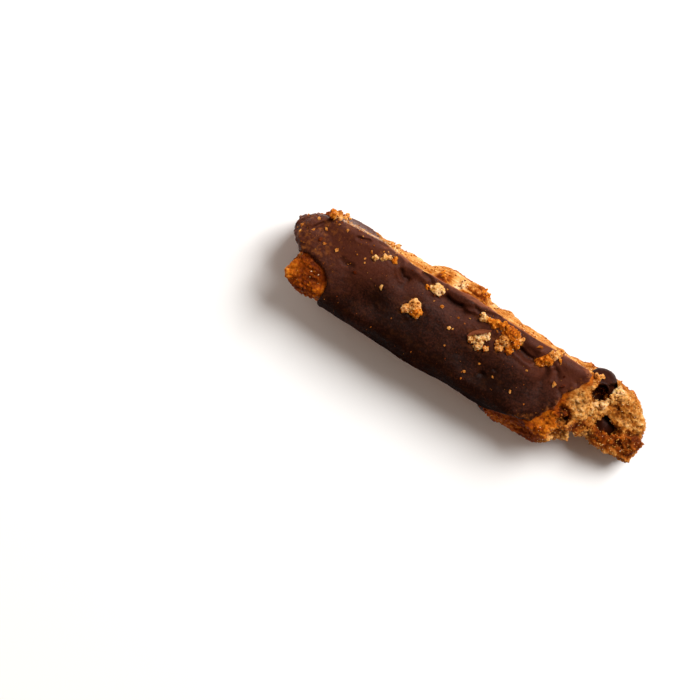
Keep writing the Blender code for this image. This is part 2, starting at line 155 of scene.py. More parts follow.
def set_inputs(tree: bpy.types.NodeTree, node: bpy.types.Node, inputs: Inputs) -> None:
    """Fill a node's inputs.

    Args:
        tree: the nodes that it belongs to.
        node: the node.
        inputs: values, output sockets, or nodes that stand for their first output in use, by the
            name or number of the socket that they go to.
    """
    for name, value in inputs.items():
        if isinstance(value, bpy.types.Node):
            value = next(output for output in value.outputs if output.enabled)
        if isinstance(value, bpy.types.NodeSocket):
            tree.links.new(value, node.inputs[name])
        else:
            node.inputs[name].default_value = value


def add_node(
    tree: bpy.types.NodeTree, kind: str, inputs: Inputs | None = None, **settings: object
) -> bpy.types.Node:
    """Add a shader node with its settings and links.

    Args:
        tree: the nodes that it joins.
        kind: the node's type, without its ShaderNode in front.
        inputs: what fills its inputs, as set_inputs takes it.
        **settings: the node's own properties.

    Returns:
        The new node.
    """
    node = tree.nodes.new("ShaderNode" + kind)
    for name, value in settings.items():
        setattr(node, name, value)
    set_inputs(tree, node, inputs or {})
    return node


def set_stops(ramp: bpy.types.Node, shades: tuple[str, ...]) -> None:
    """Give a colour ramp evenly spaced stops.

    Args:
        ramp: the colour ramp's node.
        shades: an sRGB hex value for each stop.
    """
    stops = ramp.color_ramp.elements
    for number, shade in enumerate(shades):
        stop = stops[number] if number < len(stops) else stops.new(1.0)
        stop.position = number / (len(shades) - 1)
        stop.color = linear(shade)


def new_object(name: str, data: bpy.types.ID) -> bpy.types.Object:
    """Put a new object into the scene.

    Args:
        name: the object's name.
        data: its mesh, camera or light.

    Returns:
        The object.
    """
    made = bpy.data.objects.new(name, data)
    bpy.context.scene.collection.objects.link(made)
    return made


def pick_only(piece: bpy.types.Object) -> None:
    """Deselect everything, then select one object and make it the active one.

    Args:
        piece: the object.
    """
    bpy.ops.object.select_all(action="DESELECT")
    piece.select_set(True)
    bpy.context.view_layer.objects.active = piece


def edit_vertices(
    piece: bpy.types.Object, picked: np.ndarray, operator: Callable, **settings: object
) -> None:
    """Run an edit mode operator on some of a piece's vertices.

    Args:
        piece: the object that is changed.
        picked: whether each vertex is picked.
        operator: the operator.
        **settings: the operator's own properties.
    """
    pick_only(piece)
    piece.data.vertices.foreach_set("select", picked)
    bpy.ops.object.mode_set(mode="EDIT")
    bpy.ops.mesh.select_mode(type="VERT")
    operator(**settings)
    bpy.ops.object.mode_set(mode="OBJECT")


def apply_modifier(piece: bpy.types.Object, kind: str, **settings: object) -> None:
    """Add a modifier with its settings and apply it.

    Args:
        piece: the object that is changed.
        kind: the modifier's type.
        **settings: the modifier's own properties.
    """
    pick_only(piece)
    modifier = piece.modifiers.new(kind.lower(), kind)
    for name, value in settings.items():
        setattr(modifier, name, value)
    bpy.ops.object.modifier_apply(modifier=modifier.name)


def remesh(piece: bpy.types.Object, voxel: float) -> None:
    """Remesh a piece to even faces of about a voxel, given in millimetres."""
    apply_modifier(piece, "REMESH", mode="VOXEL", voxel_size=voxel * MM, use_smooth_shade=True)


def merged_copy(node: str, name: str) -> bpy.types.Object:
    """Copy a CAD node with its loose triangles merged.

    Args:
        node: the CAD node's name.
        name: the new piece's name.

    Returns:
        The copy, at the origin and on no body.
    """
    piece = new_object(name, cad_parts[node].data.copy())
    piece.data.materials.clear()
    every = np.ones(len(piece.data.vertices), bool)
    edit_vertices(piece, every, bpy.ops.mesh.remove_doubles, threshold=SAME_POINT * MM)
    return piece


def join_into(piece: bpy.types.Object, others: Iterable[bpy.types.Object]) -> None:
    """Join other objects into a piece.

    Args:
        piece: the piece, which keeps its name.
        others: the objects that become part of it.
    """
    pick_only(piece)
    for other in others:
        other.select_set(True)
    bpy.ops.object.join()


def rows_of(items: bpy.types.bpy_prop_collection, name: str, width: int, kind: type) -> np.ndarray:
    """Read the same property of all items of a mesh.

    Args:
        items: the mesh's vertices, edges, faces or normals.
        name: the property.
        width: how many numbers each item has.
        kind: type of the numbers.

    Returns:
        One row for each item.
    """
    flat = np.empty(len(items) * width, kind)
    items.foreach_get(name, flat)
    return flat.reshape(-1, width)


def points_of(piece: bpy.types.Object) -> np.ndarray:
    """Places of a piece's vertices, in millimetres."""
    return rows_of(piece.data.vertices, "co", 3, np.float32).astype(float) / MM


def normals_of(piece: bpy.types.Object) -> np.ndarray:
    """Directions of a piece's vertex normals."""
    return rows_of(piece.data.vertex_normals, "vector", 3, np.float32).astype(float)


def put_points(piece: bpy.types.Object, points: np.ndarray) -> None:
    """Move a piece's vertices to places given in millimetres."""
    piece.data.vertices.foreach_set("co", (points * MM).astype(np.float32).ravel())
    piece.data.update()


def put_attribute(piece: bpy.types.Object, name: str, values: np.ndarray) -> None:
    """Store one number for each vertex, which a finish can read."""
    layer = piece.data.attributes.get(name) or piece.data.attributes.new(name, "FLOAT", "POINT")
    layer.data.foreach_set("value", values.astype(np.float32))


def put_group(piece: bpy.types.Object, name: str, values: np.ndarray, steps: int = 24) -> None:
    """Store a mask as a vertex group, which a modifier can read.

    Args:
        piece: the piece that is masked.
        name: the group's name.
        values: weight of each vertex, from 0 to 1.
        steps: how many weights are told apart.
    """
    group = piece.vertex_groups.new(name=name)
    levels = np.rint(np.clip(values, 0.0, 1.0) * steps).astype(int)
    for level in range(1, steps + 1):
        group.add(np.flatnonzero(levels == level).tolist(), level / steps, "REPLACE")


def tree_of(piece: bpy.types.Object) -> BVHTree:
    """Search tree of a piece's faces, in metres."""
    return BVHTree.FromObject(piece, bpy.context.evaluated_depsgraph_get())


def distance_to(tree: BVHTree, points: np.ndarray, limit: float) -> np.ndarray:
    """Distance of each point to a surface.

    Args:
        tree: the surface.
        points: places in millimetres.
        limit: the largest distance that is looked for, in millimetres.

    Returns:
        The distances in millimetres, no larger than the limit.
    """
    found = np.full(len(points), limit)
    for index, point in enumerate(points):
        distance = tree.find_nearest(Vector(point) * MM, limit * MM)[3]
        if distance is not None:
            found[index] = distance / MM
    return found


def spread_noise(points: np.ndarray, grain: float, seed: float = 0.0) -> np.ndarray:
    """Soft noise from about -1 to 1 at each point.

    Args:
        points: places in millimetres.
        grain: size of its waves in millimetres.
        seed: shift that makes one draw unlike another.

    Returns:
        One number for each point.
    """
    shift = Vector((seed, seed * 0.7, -seed))
    return np.array([noise.noise(Vector(point) / grain + shift) for point in points])


def edges_of(piece: bpy.types.Object) -> np.ndarray:
    """First and second vertex of each of a piece's edges."""
    return rows_of(piece.data.edges, "vertices", 2, np.int32).T


def drop_slivers(piece: bpy.types.Object, least: int) -> None:
    """Delete what a remesh left loose.

    Args:
        piece: the remeshed piece.
        least: how many vertices a loose part needs to be kept.
    """
    first, second = edges_of(piece)
    count = len(piece.data.vertices)
    labels, before = np.arange(count), None
    while before is None or (labels != before).any():
        before = labels.copy()
        np.minimum.at(labels, first, before[second])
        np.minimum.at(labels, second, before[first])
        labels = labels[labels]
    small = np.bincount(labels, minlength=count)[labels] < least
    edit_vertices(piece, small, bpy.ops.mesh.delete, type="VERT")


def hollows(piece: bpy.types.Object, rounds: int) -> np.ndarray:
    """How far each vertex lies below its smoothed surroundings.

    Args:
        piece: the piece that is read.
        rounds: how many times the surroundings are averaged; more rounds reach further.

    Returns:
        Depths in millimetres, below 0 on what stands out.
    """
    first, second = edges_of(piece)
    points = points_of(piece)
    shares = np.bincount(np.concatenate((first, second)), minlength=len(points))
    even = points.copy()
    for _ in range(rounds):
        total = np.zeros_like(even)
        for axis in range(3):
            total[:, axis] += np.bincount(first, even[second, axis], len(points))
            total[:, axis] += np.bincount(second, even[first, axis], len(points))
        even = total / np.maximum(shares, 1)[:, None]
    return ((even - points) * normals_of(piece)).sum(1)


def hand_in(
    piece: bpy.types.Object, finish: bpy.types.Material, slot: Slot, *nodes: str
) -> bpy.types.Object:
    """Dress a finished piece and let it ride on the bar.

    Args:
        piece: the finished piece.
        finish: its material.
        slot: the slot that its finish belongs to; not used.
        *nodes: CAD nodes that it replaces.

    Returns:
        The same piece.
    """
    piece.data.materials.clear()
    piece.data.materials.append(finish)
    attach(piece, BODY)
    if nodes:
        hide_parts(*nodes)
    triangles = sum(len(face.vertices) - 2 for face in piece.data.polygons)
    LOG.info("%s: %d triangles", piece.name, triangles)
    return piece


# ---------------------------------------------------------------------------------------------
# How the bar stands in the frame
# ---------------------------------------------------------------------------------------------


@dataclass(frozen=True)
class View:
    """The photo's view of the bar: straight down, leaning to the cut side, and rolled.

    Attributes:
        frame_px: width of the square frame in pixels.
        scale: pixels to the millimetre on the chocolate.
        middle: the point of the bar, in millimetres, that lies at bar_px.
        bar_px: where that point lies in the frame, in pixels.
        turn: how far the bar runs down to the right in the frame, in degrees.
        tilt: how far the camera leans to the cut side, in degrees.
    """

    frame_px: float = 700.0
    scale: float = 4.13
    middle: tuple[float, float, float] = (-0.39, 0.37, 17.5)
    bar_px: tuple[float, float] = (464.0, 345.0)
    turn: float = 31.5
    tilt: float = 10.0

    def axes(self) -> tuple[np.ndarray, np.ndarray, np.ndarray]:
        """Turn the frame's directions into the part's.

        Returns:
            Right, up and towards the camera.
        """
        tilt, turn = math.radians(self.tilt), math.radians(self.turn)
        back = np.array((0.0, math.sin(tilt), math.cos(tilt)))
        across = np.array((0.0, math.cos(tilt), -math.sin(tilt)))
        right = np.array((1.0, 0.0, 0.0)) * math.cos(turn) + across * math.sin(turn)
        return right, np.cross(back, right), back

    def pixels(self, points: np.ndarray) -> np.ndarray:
        """Find where points show in the frame.

        Args:
            points: places in millimetres.

        Returns:
            Their pixels.
        """
        right, up, _ = self.axes()
        off = points - np.array(self.middle)
        return np.array(self.bar_px) + self.scale * np.stack((off @ right, -(off @ up)), axis=-1)

    def gaps(self, points: np.ndarray, pixel: tuple[float, float]) -> np.ndarray:
        """How far points show from a pixel, in millimetres."""
        return np.linalg.norm(self.pixels(points) - pixel, axis=-1) / self.scale

    def path_gaps(self, points: np.ndarray, path: PixelPath) -> np.ndarray:
        """How far points show from a bent line.

        Args:
            points: places in millimetres.
            path: pixels of the frame that the line runs through.

        Returns:
            Distances in millimetres.
        """
        shown, corners = self.pixels(points), np.array(path)
        nearest = np.full(len(points), FAR)
        for start, end in zip(corners, corners[1:]):
            run = end - start
            share = np.clip(((shown - start) @ run) / (run @ run), 0.0, 1.0)
            gap = np.linalg.norm(shown - start - share[:, None] * run, axis=1)
            nearest = np.minimum(nearest, gap / self.scale)
        return nearest

    def at_height(self, pixel: np.ndarray | tuple[float, float], height: float) -> np.ndarray:
        """Find the point that shows at a pixel and lies at a height.

        Args:
            pixel: a place in the frame.
            height: in millimetres.

        Returns:
            The point in millimetres.
        """
        right, up, back = self.axes()
        across, down = (np.array(pixel) - self.bar_px) / self.scale
        point = np.array(self.middle) + right * across - up * down
        return point + back * (height - point[2]) / back[2]

    def look(
        self, trees: Iterable[BVHTree], pixel: np.ndarray | tuple[float, float]
    ) -> tuple[np.ndarray, np.ndarray] | None:
        """Find what a pixel shows.

        Args:
            trees: the surfaces that are looked at.
            pixel: a place in the frame.

        Returns:
            The point in millimetres and the normal there, or None where nothing shows.
        """
        back = self.axes()[2]
        start = self.at_height(pixel, SKY)
        found = None
        for tree in trees:
            hit, way, _, distance = tree.ray_cast(Vector(start) * MM, -Vector(back))
            if hit is not None and (found is None or distance < found[2]):
                found = (np.array(hit) / MM, np.array(way), distance)
        return None if found is None else found[:2]


VIEW = View()


# ---------------------------------------------------------------------------------------------
# Relief
# ---------------------------------------------------------------------------------------------


@dataclass(frozen=True)
class Relief:
    """One layer of relief, as a Displace modifier that reads a procedural texture.

    Attributes:
        pattern: the noise that draws it.
        grain: size of its grains in millimetres.
        height: how far it moves the surface from its lowest to its highest, in millimetres;
            below 0, the pattern is turned inside out.
        group: vertex group that masks it; the whole piece when empty.
        level: how much of the pattern, from 0 to 1, lies below the surface.
        octaves: how many finer copies of the pattern are added.
        contrast: how steep the pattern is.
        sideways: whether it shifts points every way and not only in and out.
        stretch: how many times longer its grains are along the bar.
        seed: shift that makes one draw unlike another.
    """

    pattern: Pattern
    grain: float
    height: float
    group: str = ""
    level: float = 0.5
    octaves: int = 0
    contrast: float = 1.0
    sideways: bool = False
    stretch: float = 1.0
    seed: float = 0.0

    def press(self, piece: bpy.types.Object) -> None:
        """Press the layer into a piece.

        Args:
            piece: the object that is changed.
        """
        texture = bpy.data.textures.new(self.pattern.name, "CLOUDS")
        texture.noise_basis = self.pattern.value
        texture.noise_scale = self.grain * MM
        texture.noise_depth = self.octaves
        texture.contrast = self.contrast
        texture.cloud_type = "COLOR" if self.sideways else "GRAYSCALE"
        bpy.ops.object.empty_add(location=(self.seed, self.seed, 0.0))
        ruler = bpy.context.active_object
        ruler.scale = (self.stretch, 1.0, 1.0)
        bpy.context.view_layer.update()
        apply_modifier(
            piece,
            "DISPLACE",
            texture=texture,
            texture_coords="OBJECT",
            texture_coords_object=ruler,
            strength=self.height * MM,
            mid_level=self.level,
            vertex_group=self.group,
            direction="RGB_TO_XYZ" if self.sideways else "NORMAL",
        )
        bpy.data.objects.remove(ruler)
        bpy.data.textures.remove(texture)


def press_all(piece: bpy.types.Object, layers: Iterable[Relief]) -> None:
    """Press layers of relief into a piece, one after the other."""
    for layer in layers:
        layer.press(piece)


@dataclass(frozen=True)
class Mark:
    """A pit, fold or crack in the chocolate, along a line that the photo shows.

    Attributes:
        path: pixels of the frame that the line runs through.
        half_width: in millimetres.
        depth: in millimetres; below 0 for a ridge.
        steep: above 1 for a flat bed with steep walls.
    """

    path: PixelPath
    half_width: float
    depth: float
    steep: float = 1.0

    def drop(self, points: np.ndarray) -> np.ndarray:
        """How far the mark lowers each point, in millimetres.

        Args:
            points: places in millimetres.

        Returns:
            One depth for each point.
        """
        gaps = VIEW.path_gaps(points, self.path)
        near = np.flatnonzero(gaps < self.half_width * 2.0)
        drops = np.zeros(len(points))
        wobble = 1.0 + 0.3 * spread_noise(points[near], 1.6, 6.0)
        share = smooth(self.half_width, 0.0, gaps[near] * wobble)
        drops[near] = self.depth * np.minimum(1.0, share * self.steep)
        return drops


# ---------------------------------------------------------------------------------------------
# Finishes
# ---------------------------------------------------------------------------------------------


class Finish:
    """A material with one Principled shader, which each kind of finish feeds in its own way."""

    name = ""

    def feed(self, tree: bpy.types.NodeTree) -> Inputs:
        """Lay out the nodes, and return what goes into the shader."""
        raise NotImplementedError

    def build(self) -> bpy.types.Material:
        """Make the material.

        Returns:
            The material.
        """
        material = bpy.data.materials.new(self.name)
        material.use_nodes = True
        tree = material.node_tree
        set_inputs(tree, tree.nodes["Principled BSDF"], self.feed(tree))
        return material


@dataclass(frozen=True)
class BakedCookie(Finish):
    """Baked butter cookie: an open golden crumb, browner where it was the outside of the dough.

    The eye sees matt grains of flour and fat that glow warmly at their edges, painted shade in
    the gaps between them, and a thin smear of chocolate where the coat was scraped off; the
    smear's colour is also laid as painted shade into a few hollows.

    Attributes:
        inside: sRGB colours of the torn crumb, from the palest to the darkest.
        outside: the same for what was the outside of the dough.
        gap: colour of the painted shade deep between the grains.
        smear_and_painted_shade: colour of the smeared chocolate, also laid as painted shade into a
            few hollows.
        clump: size of the slow changes of tone, in millimetres.
        grain: size of the single grains, in millimetres.
        streak: how many times longer those slow changes are along the bar.
        layer: thickness in millimetres of the layers that the cut side shows, and how many
            times longer they are along the bar.
    """

    inside: tuple[str, ...] = ("#e6c08e", "#cf9550", "#a25d1a", "#692a04", "#340f02")
    outside: tuple[str, ...] = ("#e0953a", "#bb6410", "#8a3c03", "#591e01", "#2c0a01")
    gap: str = "#4f2006"
    smear_and_painted_shade: str = "#2a120a"
    clump: float = 2.4
    grain: float = 0.55
    streak: float = 3.0
    layer: tuple[float, float] = (0.5, 5.0)
    name = "baked cookie"

    def feed(self, tree: bpy.types.NodeTree) -> Inputs:
        """Lay out the nodes.

        Args:
            tree: the material's nodes.

        Returns:
            What goes into the shader, from the attributes toast, inside, gap, smear_and_painted_shade
            and layers.
        """
        place = add_node(tree, "TexCoord").outputs["Object"]
        toast, torn, gap, smeared, layered = (
            add_node(tree, "Attribute", attribute_name=read).outputs["Fac"]
            for read in ("toast", "inside", "gap", "smear_and_painted_shade", "layers")
        )
        thickness, longer = self.layer
        along, drawn = (
            add_node(tree, "Mapping", {"Vector": place, "Scale": (1.0 / times, 1.0, 1.0)})
            for times in (self.streak, longer)
        )
        drift, fine, layers = (
            add_node(
                tree,
                "TexNoise",
                {"Vector": where, "Scale": per(grain), "Detail": detail, "Roughness": rough},
            )
            for where, grain, detail, rough in (
                (along, self.clump, 5.0, 0.66),
                (place, self.grain, 3.0, 0.7),
                (drawn, thickness, 2.0, 0.6),
            )
        )
        layer_share = add_node(tree, "Math", {0: layered, 1: 0.6}, operation="MULTIPLY")
        grain_share = add_node(
            tree, "Math", {0: layered, 1: -0.2, 2: 0.36}, operation="MULTIPLY_ADD"
        )
        cells = add_node(tree, "TexVoronoi", {"Vector": place, "Scale": per(self.grain)})
        cell_tone = add_node(tree, "SeparateColor", {"Color": cells.outputs["Color"]})
        # Each noise has its middle at 0.5, so half of its share is taken off again.
        tone = toast
        for source, share in (
            (drift, 1.3),
            (fine, grain_share),
            (layers, layer_share),
            (cell_tone, 0.14),
        ):
            centred = add_node(tree, "Math", {0: source, 1: 0.5}, operation="SUBTRACT")
            tone = add_node(
                tree, "Math", {0: centred, 1: share, 2: tone}, operation="MULTIPLY_ADD"
            )
        crust, crumb = (add_node(tree, "ValToRGB", {"Fac": tone}) for _ in range(2))
        set_stops(crust, self.outside)
        set_stops(crumb, self.inside)
        colour = crust
        # The gap colour is painted shade between the grains; smear_and_painted_shade is smeared
        # chocolate and painted shade in a few hollows.
        for factor, shade in (
            (torn, crumb),
            (gap, linear(self.gap)),
            (smeared, linear(self.smear_and_painted_shade)),
        ):
            inputs = {"Factor": factor, "A": colour, "B": shade}
            colour = add_node(tree, "Mix", inputs, data_type="RGBA")
        relief = add_node(tree, "Math", {0: cells, 1: -0.7, 2: fine}, operation="MULTIPLY_ADD")
        bump = {"Height": relief, "Strength": 0.6, "Distance": 0.2 * MM}
        dullness = {"Value": fine, 1: 0.35, 2: 0.65, 3: 0.5, 4: 0.85}
        return {
            "Base Color": colour,
            "Roughness": add_node(tree, "MapRange", dullness),
            "Normal": add_node(tree, "Bump", bump),
            "IOR": 1.45,
            "Specular IOR Level": 0.07,
            "Subsurface Weight": 0.25,
            "Subsurface Radius": (1.0, 0.45, 0.16),
            "Subsurface Scale": 0.8 * MM,
        }


@dataclass(frozen=True)
class SetSugar(Finish):
    """Sugar that melted in the oven and set: amber grains, hard and clear.

    The eye sees small bright points, each with its own glint.

    Attributes:
        clear: sRGB colour of the palest grains.
        amber: colour of the browned ones.
        shine: roughness of their faces.
    """

    clear: str = "#f8e6c4"
    amber: str = "#dd8f3a"
    shine: float = 0.2
    name = "set sugar"

    def feed(self, tree: bpy.types.NodeTree) -> Inputs:
        """Lay out the nodes.

        Args:
            tree: the material's nodes.

        Returns:
            What goes into the shader, from the attribute toast.
        """
        toast = add_node(tree, "Attribute", attribute_name="toast").outputs["Fac"]
        shades = {"Factor": toast, "A": linear(self.clear), "B": linear(self.amber)}
        return {
            "Base Color": add_node(tree, "Mix", shades, data_type="RGBA"),
            "Roughness": self.shine,
            "IOR": 1.54,
            "Subsurface Weight": 0.4,
            "Subsurface Radius": (1.0, 0.7, 0.4),
            "Subsurface Scale": 0.3 * MM,
        }


@dataclass(frozen=True)
class SetChocolate(Finish):
    """Dark chocolate, poured and left to set: satin, with a faint bloom and dull thumbed spots.

    The eye sees a soft wide sheen broken by slow waves, redder brown where the layer is thin,
    with a painted highlight along the rim, a dust of crumbs rubbed into it, and painted light
    and shade: lighter towards the lit cut side and the ends, darker in hollows.

    Attributes:
        body: sRGB colour of the thick layer.
        bloom_and_painted_light: colour where it is thinner and fat has bloomed, also laid as painted
            light towards the lit cut side and the ends.
        thin: colour of thin and worn edges, and of a painted highlight along the raised rim of the
            cut side.
        dust: colour of the crumb rubbed into it.
        scraped: colour where the layer was scraped down to the cookie.
        sheen: roughness where it is smooth and where it is dull.
        shine: specular level where it is polished; none where it was rubbed dull.
    """

    body: str = "#180703"
    bloom_and_painted_light: str = "#4c2418"
    thin: str = "#86492f"
    dust: str = "#8a4c1e"
    scraped: str = "#c79a78"
    sheen: tuple[float, float] = (0.32, 0.46)
    shine: float = 0.08
    name = "set chocolate"

    def feed(self, tree: bpy.types.NodeTree) -> Inputs:
        """Lay out the nodes.

        Args:
            tree: the material's nodes.

        Returns:
            What goes into the shader, from the attributes bloom_and_painted_light, edge, dust, scrape
            and polish.
        """
        place = add_node(tree, "TexCoord").outputs["Object"]
        bloom_and_painted_light, edge, dust, scrape, polish = (
            add_node(tree, "Attribute", attribute_name=read).outputs["Fac"]
            for read in ("bloom_and_painted_light", "edge", "dust", "scrape", "polish")
        )
        clouds, spots, blotches = (
            add_node(
                tree,
                "TexNoise",
                {"Vector": place, "Scale": per(grain), "Detail": detail, "Roughness": rough},
            )
            for grain, detail, rough in ((5.5, 6.0, 0.62), (0.5, 5.0, 0.75), (1.6, 6.0, 0.72))
        )
        mottle = add_node(tree, "MapRange", {"Value": clouds, 1: 0.3, 2: 0.7, 3: -0.2, 4: 0.2})
        grit = add_node(tree, "MapRange", {"Value": spots, 1: 0.35, 2: 0.65, 3: -0.28, 4: 0.28})
        uneven = add_node(tree, "Math", {0: mottle, 1: grit}, operation="ADD")
        # bloom_and_painted_light is bloom with painted light and shade laid into it: lighter towards
        # the lit cut side and the ends, darker in hollows.
        bloomed_and_lit = add_node(tree, "Math", {0: uneven, 1: bloom_and_painted_light}, operation="ADD", use_clamp=True)
        # Dust and scrapes are broken up: (mask, noise, what of it starts and fills them).
        dusted, bared = (
            add_node(
                tree,
                "Math",
                {0: add_node(tree, "MapRange", {"Value": source, 1: start, 2: full}), 1: mask},
                operation="MULTIPLY",
            )
            for mask, source, start, full in (
                (dust, blotches, 0.5, 0.64),
                (scrape, spots, 0.42, 0.55),
            )
        )
        colour = linear(self.body)
        for factor, shade in (
            (bloomed_and_lit, self.bloom_and_painted_light),
            (edge, self.thin),
            (dusted, self.dust),
            (bared, self.scraped),
        ):
            inputs = {"Factor": factor, "A": colour, "B": linear(shade)}
            colour = add_node(tree, "Mix", inputs, data_type="RGBA")
        pores = add_node(tree, "Bump", {"Height": spots, "Strength": 0.8, "Distance": 0.2 * MM})
        waves = {"Height": clouds, "Strength": 0.4, "Distance": 0.5 * MM, "Normal": pores}
        smooth_part, dull_part = self.sheen
        dullness = {"Value": clouds, 1: 0.35, 2: 0.7, 3: smooth_part, 4: dull_part}
        polished = {0: polish, 1: self.shine}
        return {
            "Base Color": colour,
            "Roughness": add_node(tree, "MapRange", dullness),
            "Normal": add_node(tree, "Bump", waves),
            "IOR": 1.47,
            "Specular IOR Level": add_node(tree, "Math", polished, operation="MULTIPLY"),
        }


@dataclass(frozen=True)
class BakedChip(Finish):
    """Baking chip that has softened and set again in the dough: dark, glossy, scuffed by crumb.

    Attributes:
        body: sRGB colour of the chip.
        scuff: colour where crumb has rubbed it.
    """

    body: str = "#2a0e05"
    scuff: str = "#5c2c1b"
    name = "baked chocolate chip"

    def feed(self, tree: bpy.types.NodeTree) -> Inputs:
        """Lay out the nodes.

        Args:
            tree: the material's nodes.

        Returns:
            What goes into the shader, on Object coordinates.
        """
        place = add_node(tree, "TexCoord").outputs["Object"]
        noise_inputs = {"Vector": place, "Scale": per(1.3), "Detail": 5.0, "Roughness": 0.68}
        scuffs = add_node(tree, "TexNoise", noise_inputs)
        mask = add_node(tree, "MapRange", {"Value": scuffs, 1: 0.56, 2: 0.72, 4: 0.7})
        shades = {"Factor": mask, "A": linear(self.body), "B": linear(self.scuff)}
        dullness = {"Value": scuffs, 1: 0.4, 2: 0.7, 3: 0.34, 4: 0.6}
        bump = {"Height": scuffs, "Strength": 0.35, "Distance": 0.2 * MM}
        return {
            "Base Color": add_node(tree, "Mix", shades, data_type="RGBA"),
            "Roughness": add_node(tree, "MapRange", dullness),
            "Normal": add_node(tree, "Bump", bump),
            "IOR": 1.47,
            "Specular IOR Level": 0.05,
        }


@dataclass(frozen=True)
class PaleTop(Finish):
    """Matt white laminate of a photo table, which only takes the bar's soft shadow.

    Attributes:
        colour: its sRGB colour.
        roughness: how matt it is.
    """

    colour: str = "#fafafb"
    roughness: float = 0.7
    name = "white table"

    def feed(self, tree: bpy.types.NodeTree) -> Inputs:
        """Return what goes into the shader, which here needs no nodes."""
        shade = linear(self.colour)
        return {"Base Color": shade, "Roughness": self.roughness, "Specular IOR Level": 0.2}


# ---------------------------------------------------------------------------------------------
# Crumbs that are modelled once and strewn
# ---------------------------------------------------------------------------------------------


@dataclass
class CrumbMould:
    """One crumb of about 1 unit radius: an uneven ball with flat faces where it broke off.

    Attributes:
        seed: which uneven ball it is.
        detail: subdivisions of the ball.
        uneven: how far its vertices stray.
        breaks: how many flat faces it has.
        depth: how far from the middle those faces lie.
    """

    seed: int
    detail: int = 2
    uneven: float = 0.2
    breaks: int = 3
    depth: float = 0.7

    def model(self) -> Mould:
        """Model the crumb and read it.

        Returns:
            Its points and its triangles.
        """
        bpy.ops.object.select_all(action="DESELECT")
        bpy.ops.mesh.primitive_ico_sphere_add(subdivisions=self.detail, radius=1.0)
        crumb = bpy.context.active_object
        bpy.ops.object.mode_set(mode="EDIT")
        bpy.ops.mesh.select_all(action="SELECT")
        bpy.ops.transform.vertex_random(offset=self.uneven, uniform=0.3, normal=0.7, seed=self.seed)
        draw = np.random.default_rng(self.seed)
        for _ in range(self.breaks):
            way = Vector(draw.normal(size=3)).normalized()
            bpy.ops.mesh.select_all(action="SELECT")
            bpy.ops.mesh.bisect(
                plane_co=way * self.depth, plane_no=way, use_fill=True, clear_outer=True
            )
        bpy.ops.mesh.select_all(action="SELECT")
        bpy.ops.mesh.quads_convert_to_tris()
        bpy.ops.mesh.normals_make_consistent(inside=False)
        bpy.ops.object.mode_set(mode="OBJECT")
        points = points_of(crumb) * MM
        corners = rows_of(crumb.data.polygons, "vertices", 3, np.int32)
        bpy.data.objects.remove(crumb)
        return points, corners


@dataclass
class Strewing:
    """Crumbs of one kind, each a copy of a mould at its own place, size and turn.

    Attributes:
        moulds: the crumbs that are copied.
        places: middle of each crumb, in millimetres.
        sizes: half sizes of each along its own axes, in millimetres.
        turns: turn of each crumb, as a 3 by 3 matrix.
        tones: how brown, and how much like torn crumb, each one is.
    """

    moulds: list[Mould]
    places: list[np.ndarray] = field(default_factory=list)
    sizes: list[np.ndarray] = field(default_factory=list)
    turns: list[np.ndarray] = field(default_factory=list)
    tones: list[tuple[float, float]] = field(default_factory=list)

    def add(
        self,
        draw: np.random.Generator,
        place: np.ndarray,
        size: float,
        tone: tuple[float, float] = (0.5, 0.5),
        flat: float = 0.8,
        up: np.ndarray | None = None,
    ) -> None:
        """Add one crumb with a seeded turn.

        Args:
            draw: the seeded draws.
            place: its middle in millimetres.
            size: its largest half size in millimetres.
            tone: how brown it is, and how much like torn crumb.
            flat: its thickness as a share of its size.
            up: the way its thin side faces; any way when left out.
        """
        way = Vector(draw.normal(size=3) if up is None else up + draw.normal(size=3) * 0.25)
        turn = way.to_track_quat("Z", "Y").to_matrix()
        spin = Matrix.Rotation(draw.uniform(0.0, math.tau), 3, "Z")
        self.places.append(np.array(place, float))
        self.sizes.append(np.array((size, size * draw.uniform(0.65, 1.0), size * flat)))
        self.turns.append(np.array(turn @ spin))
        self.tones.append(tone)

    def build(self, name: str) -> bpy.types.Object:
        """Join the copies into one mesh.

        Args:
            name: the piece's name.

        Returns:
            The piece, with the attributes of the crumb finish.
        """
        points, faces, tones, start = [], [], [], 0
        for number, place in enumerate(self.places):
            shape, corners = self.moulds[number % len(self.moulds)]
            points.append((shape * self.sizes[number]) @ self.turns[number].T + place)
            faces.append(corners + start)
            tones.append(np.tile(self.tones[number], (len(shape), 1)))
            start += len(shape)
        mesh = bpy.data.meshes.new(name)
        mesh.from_pydata((np.concatenate(points) * MM).tolist(), [], np.concatenate(faces).tolist())
        piece = new_object(name, mesh)
        toasts, torn = np.concatenate(tones).T
        put_attribute(piece, "toast", toasts)
        put_attribute(piece, "inside", torn)
        return piece


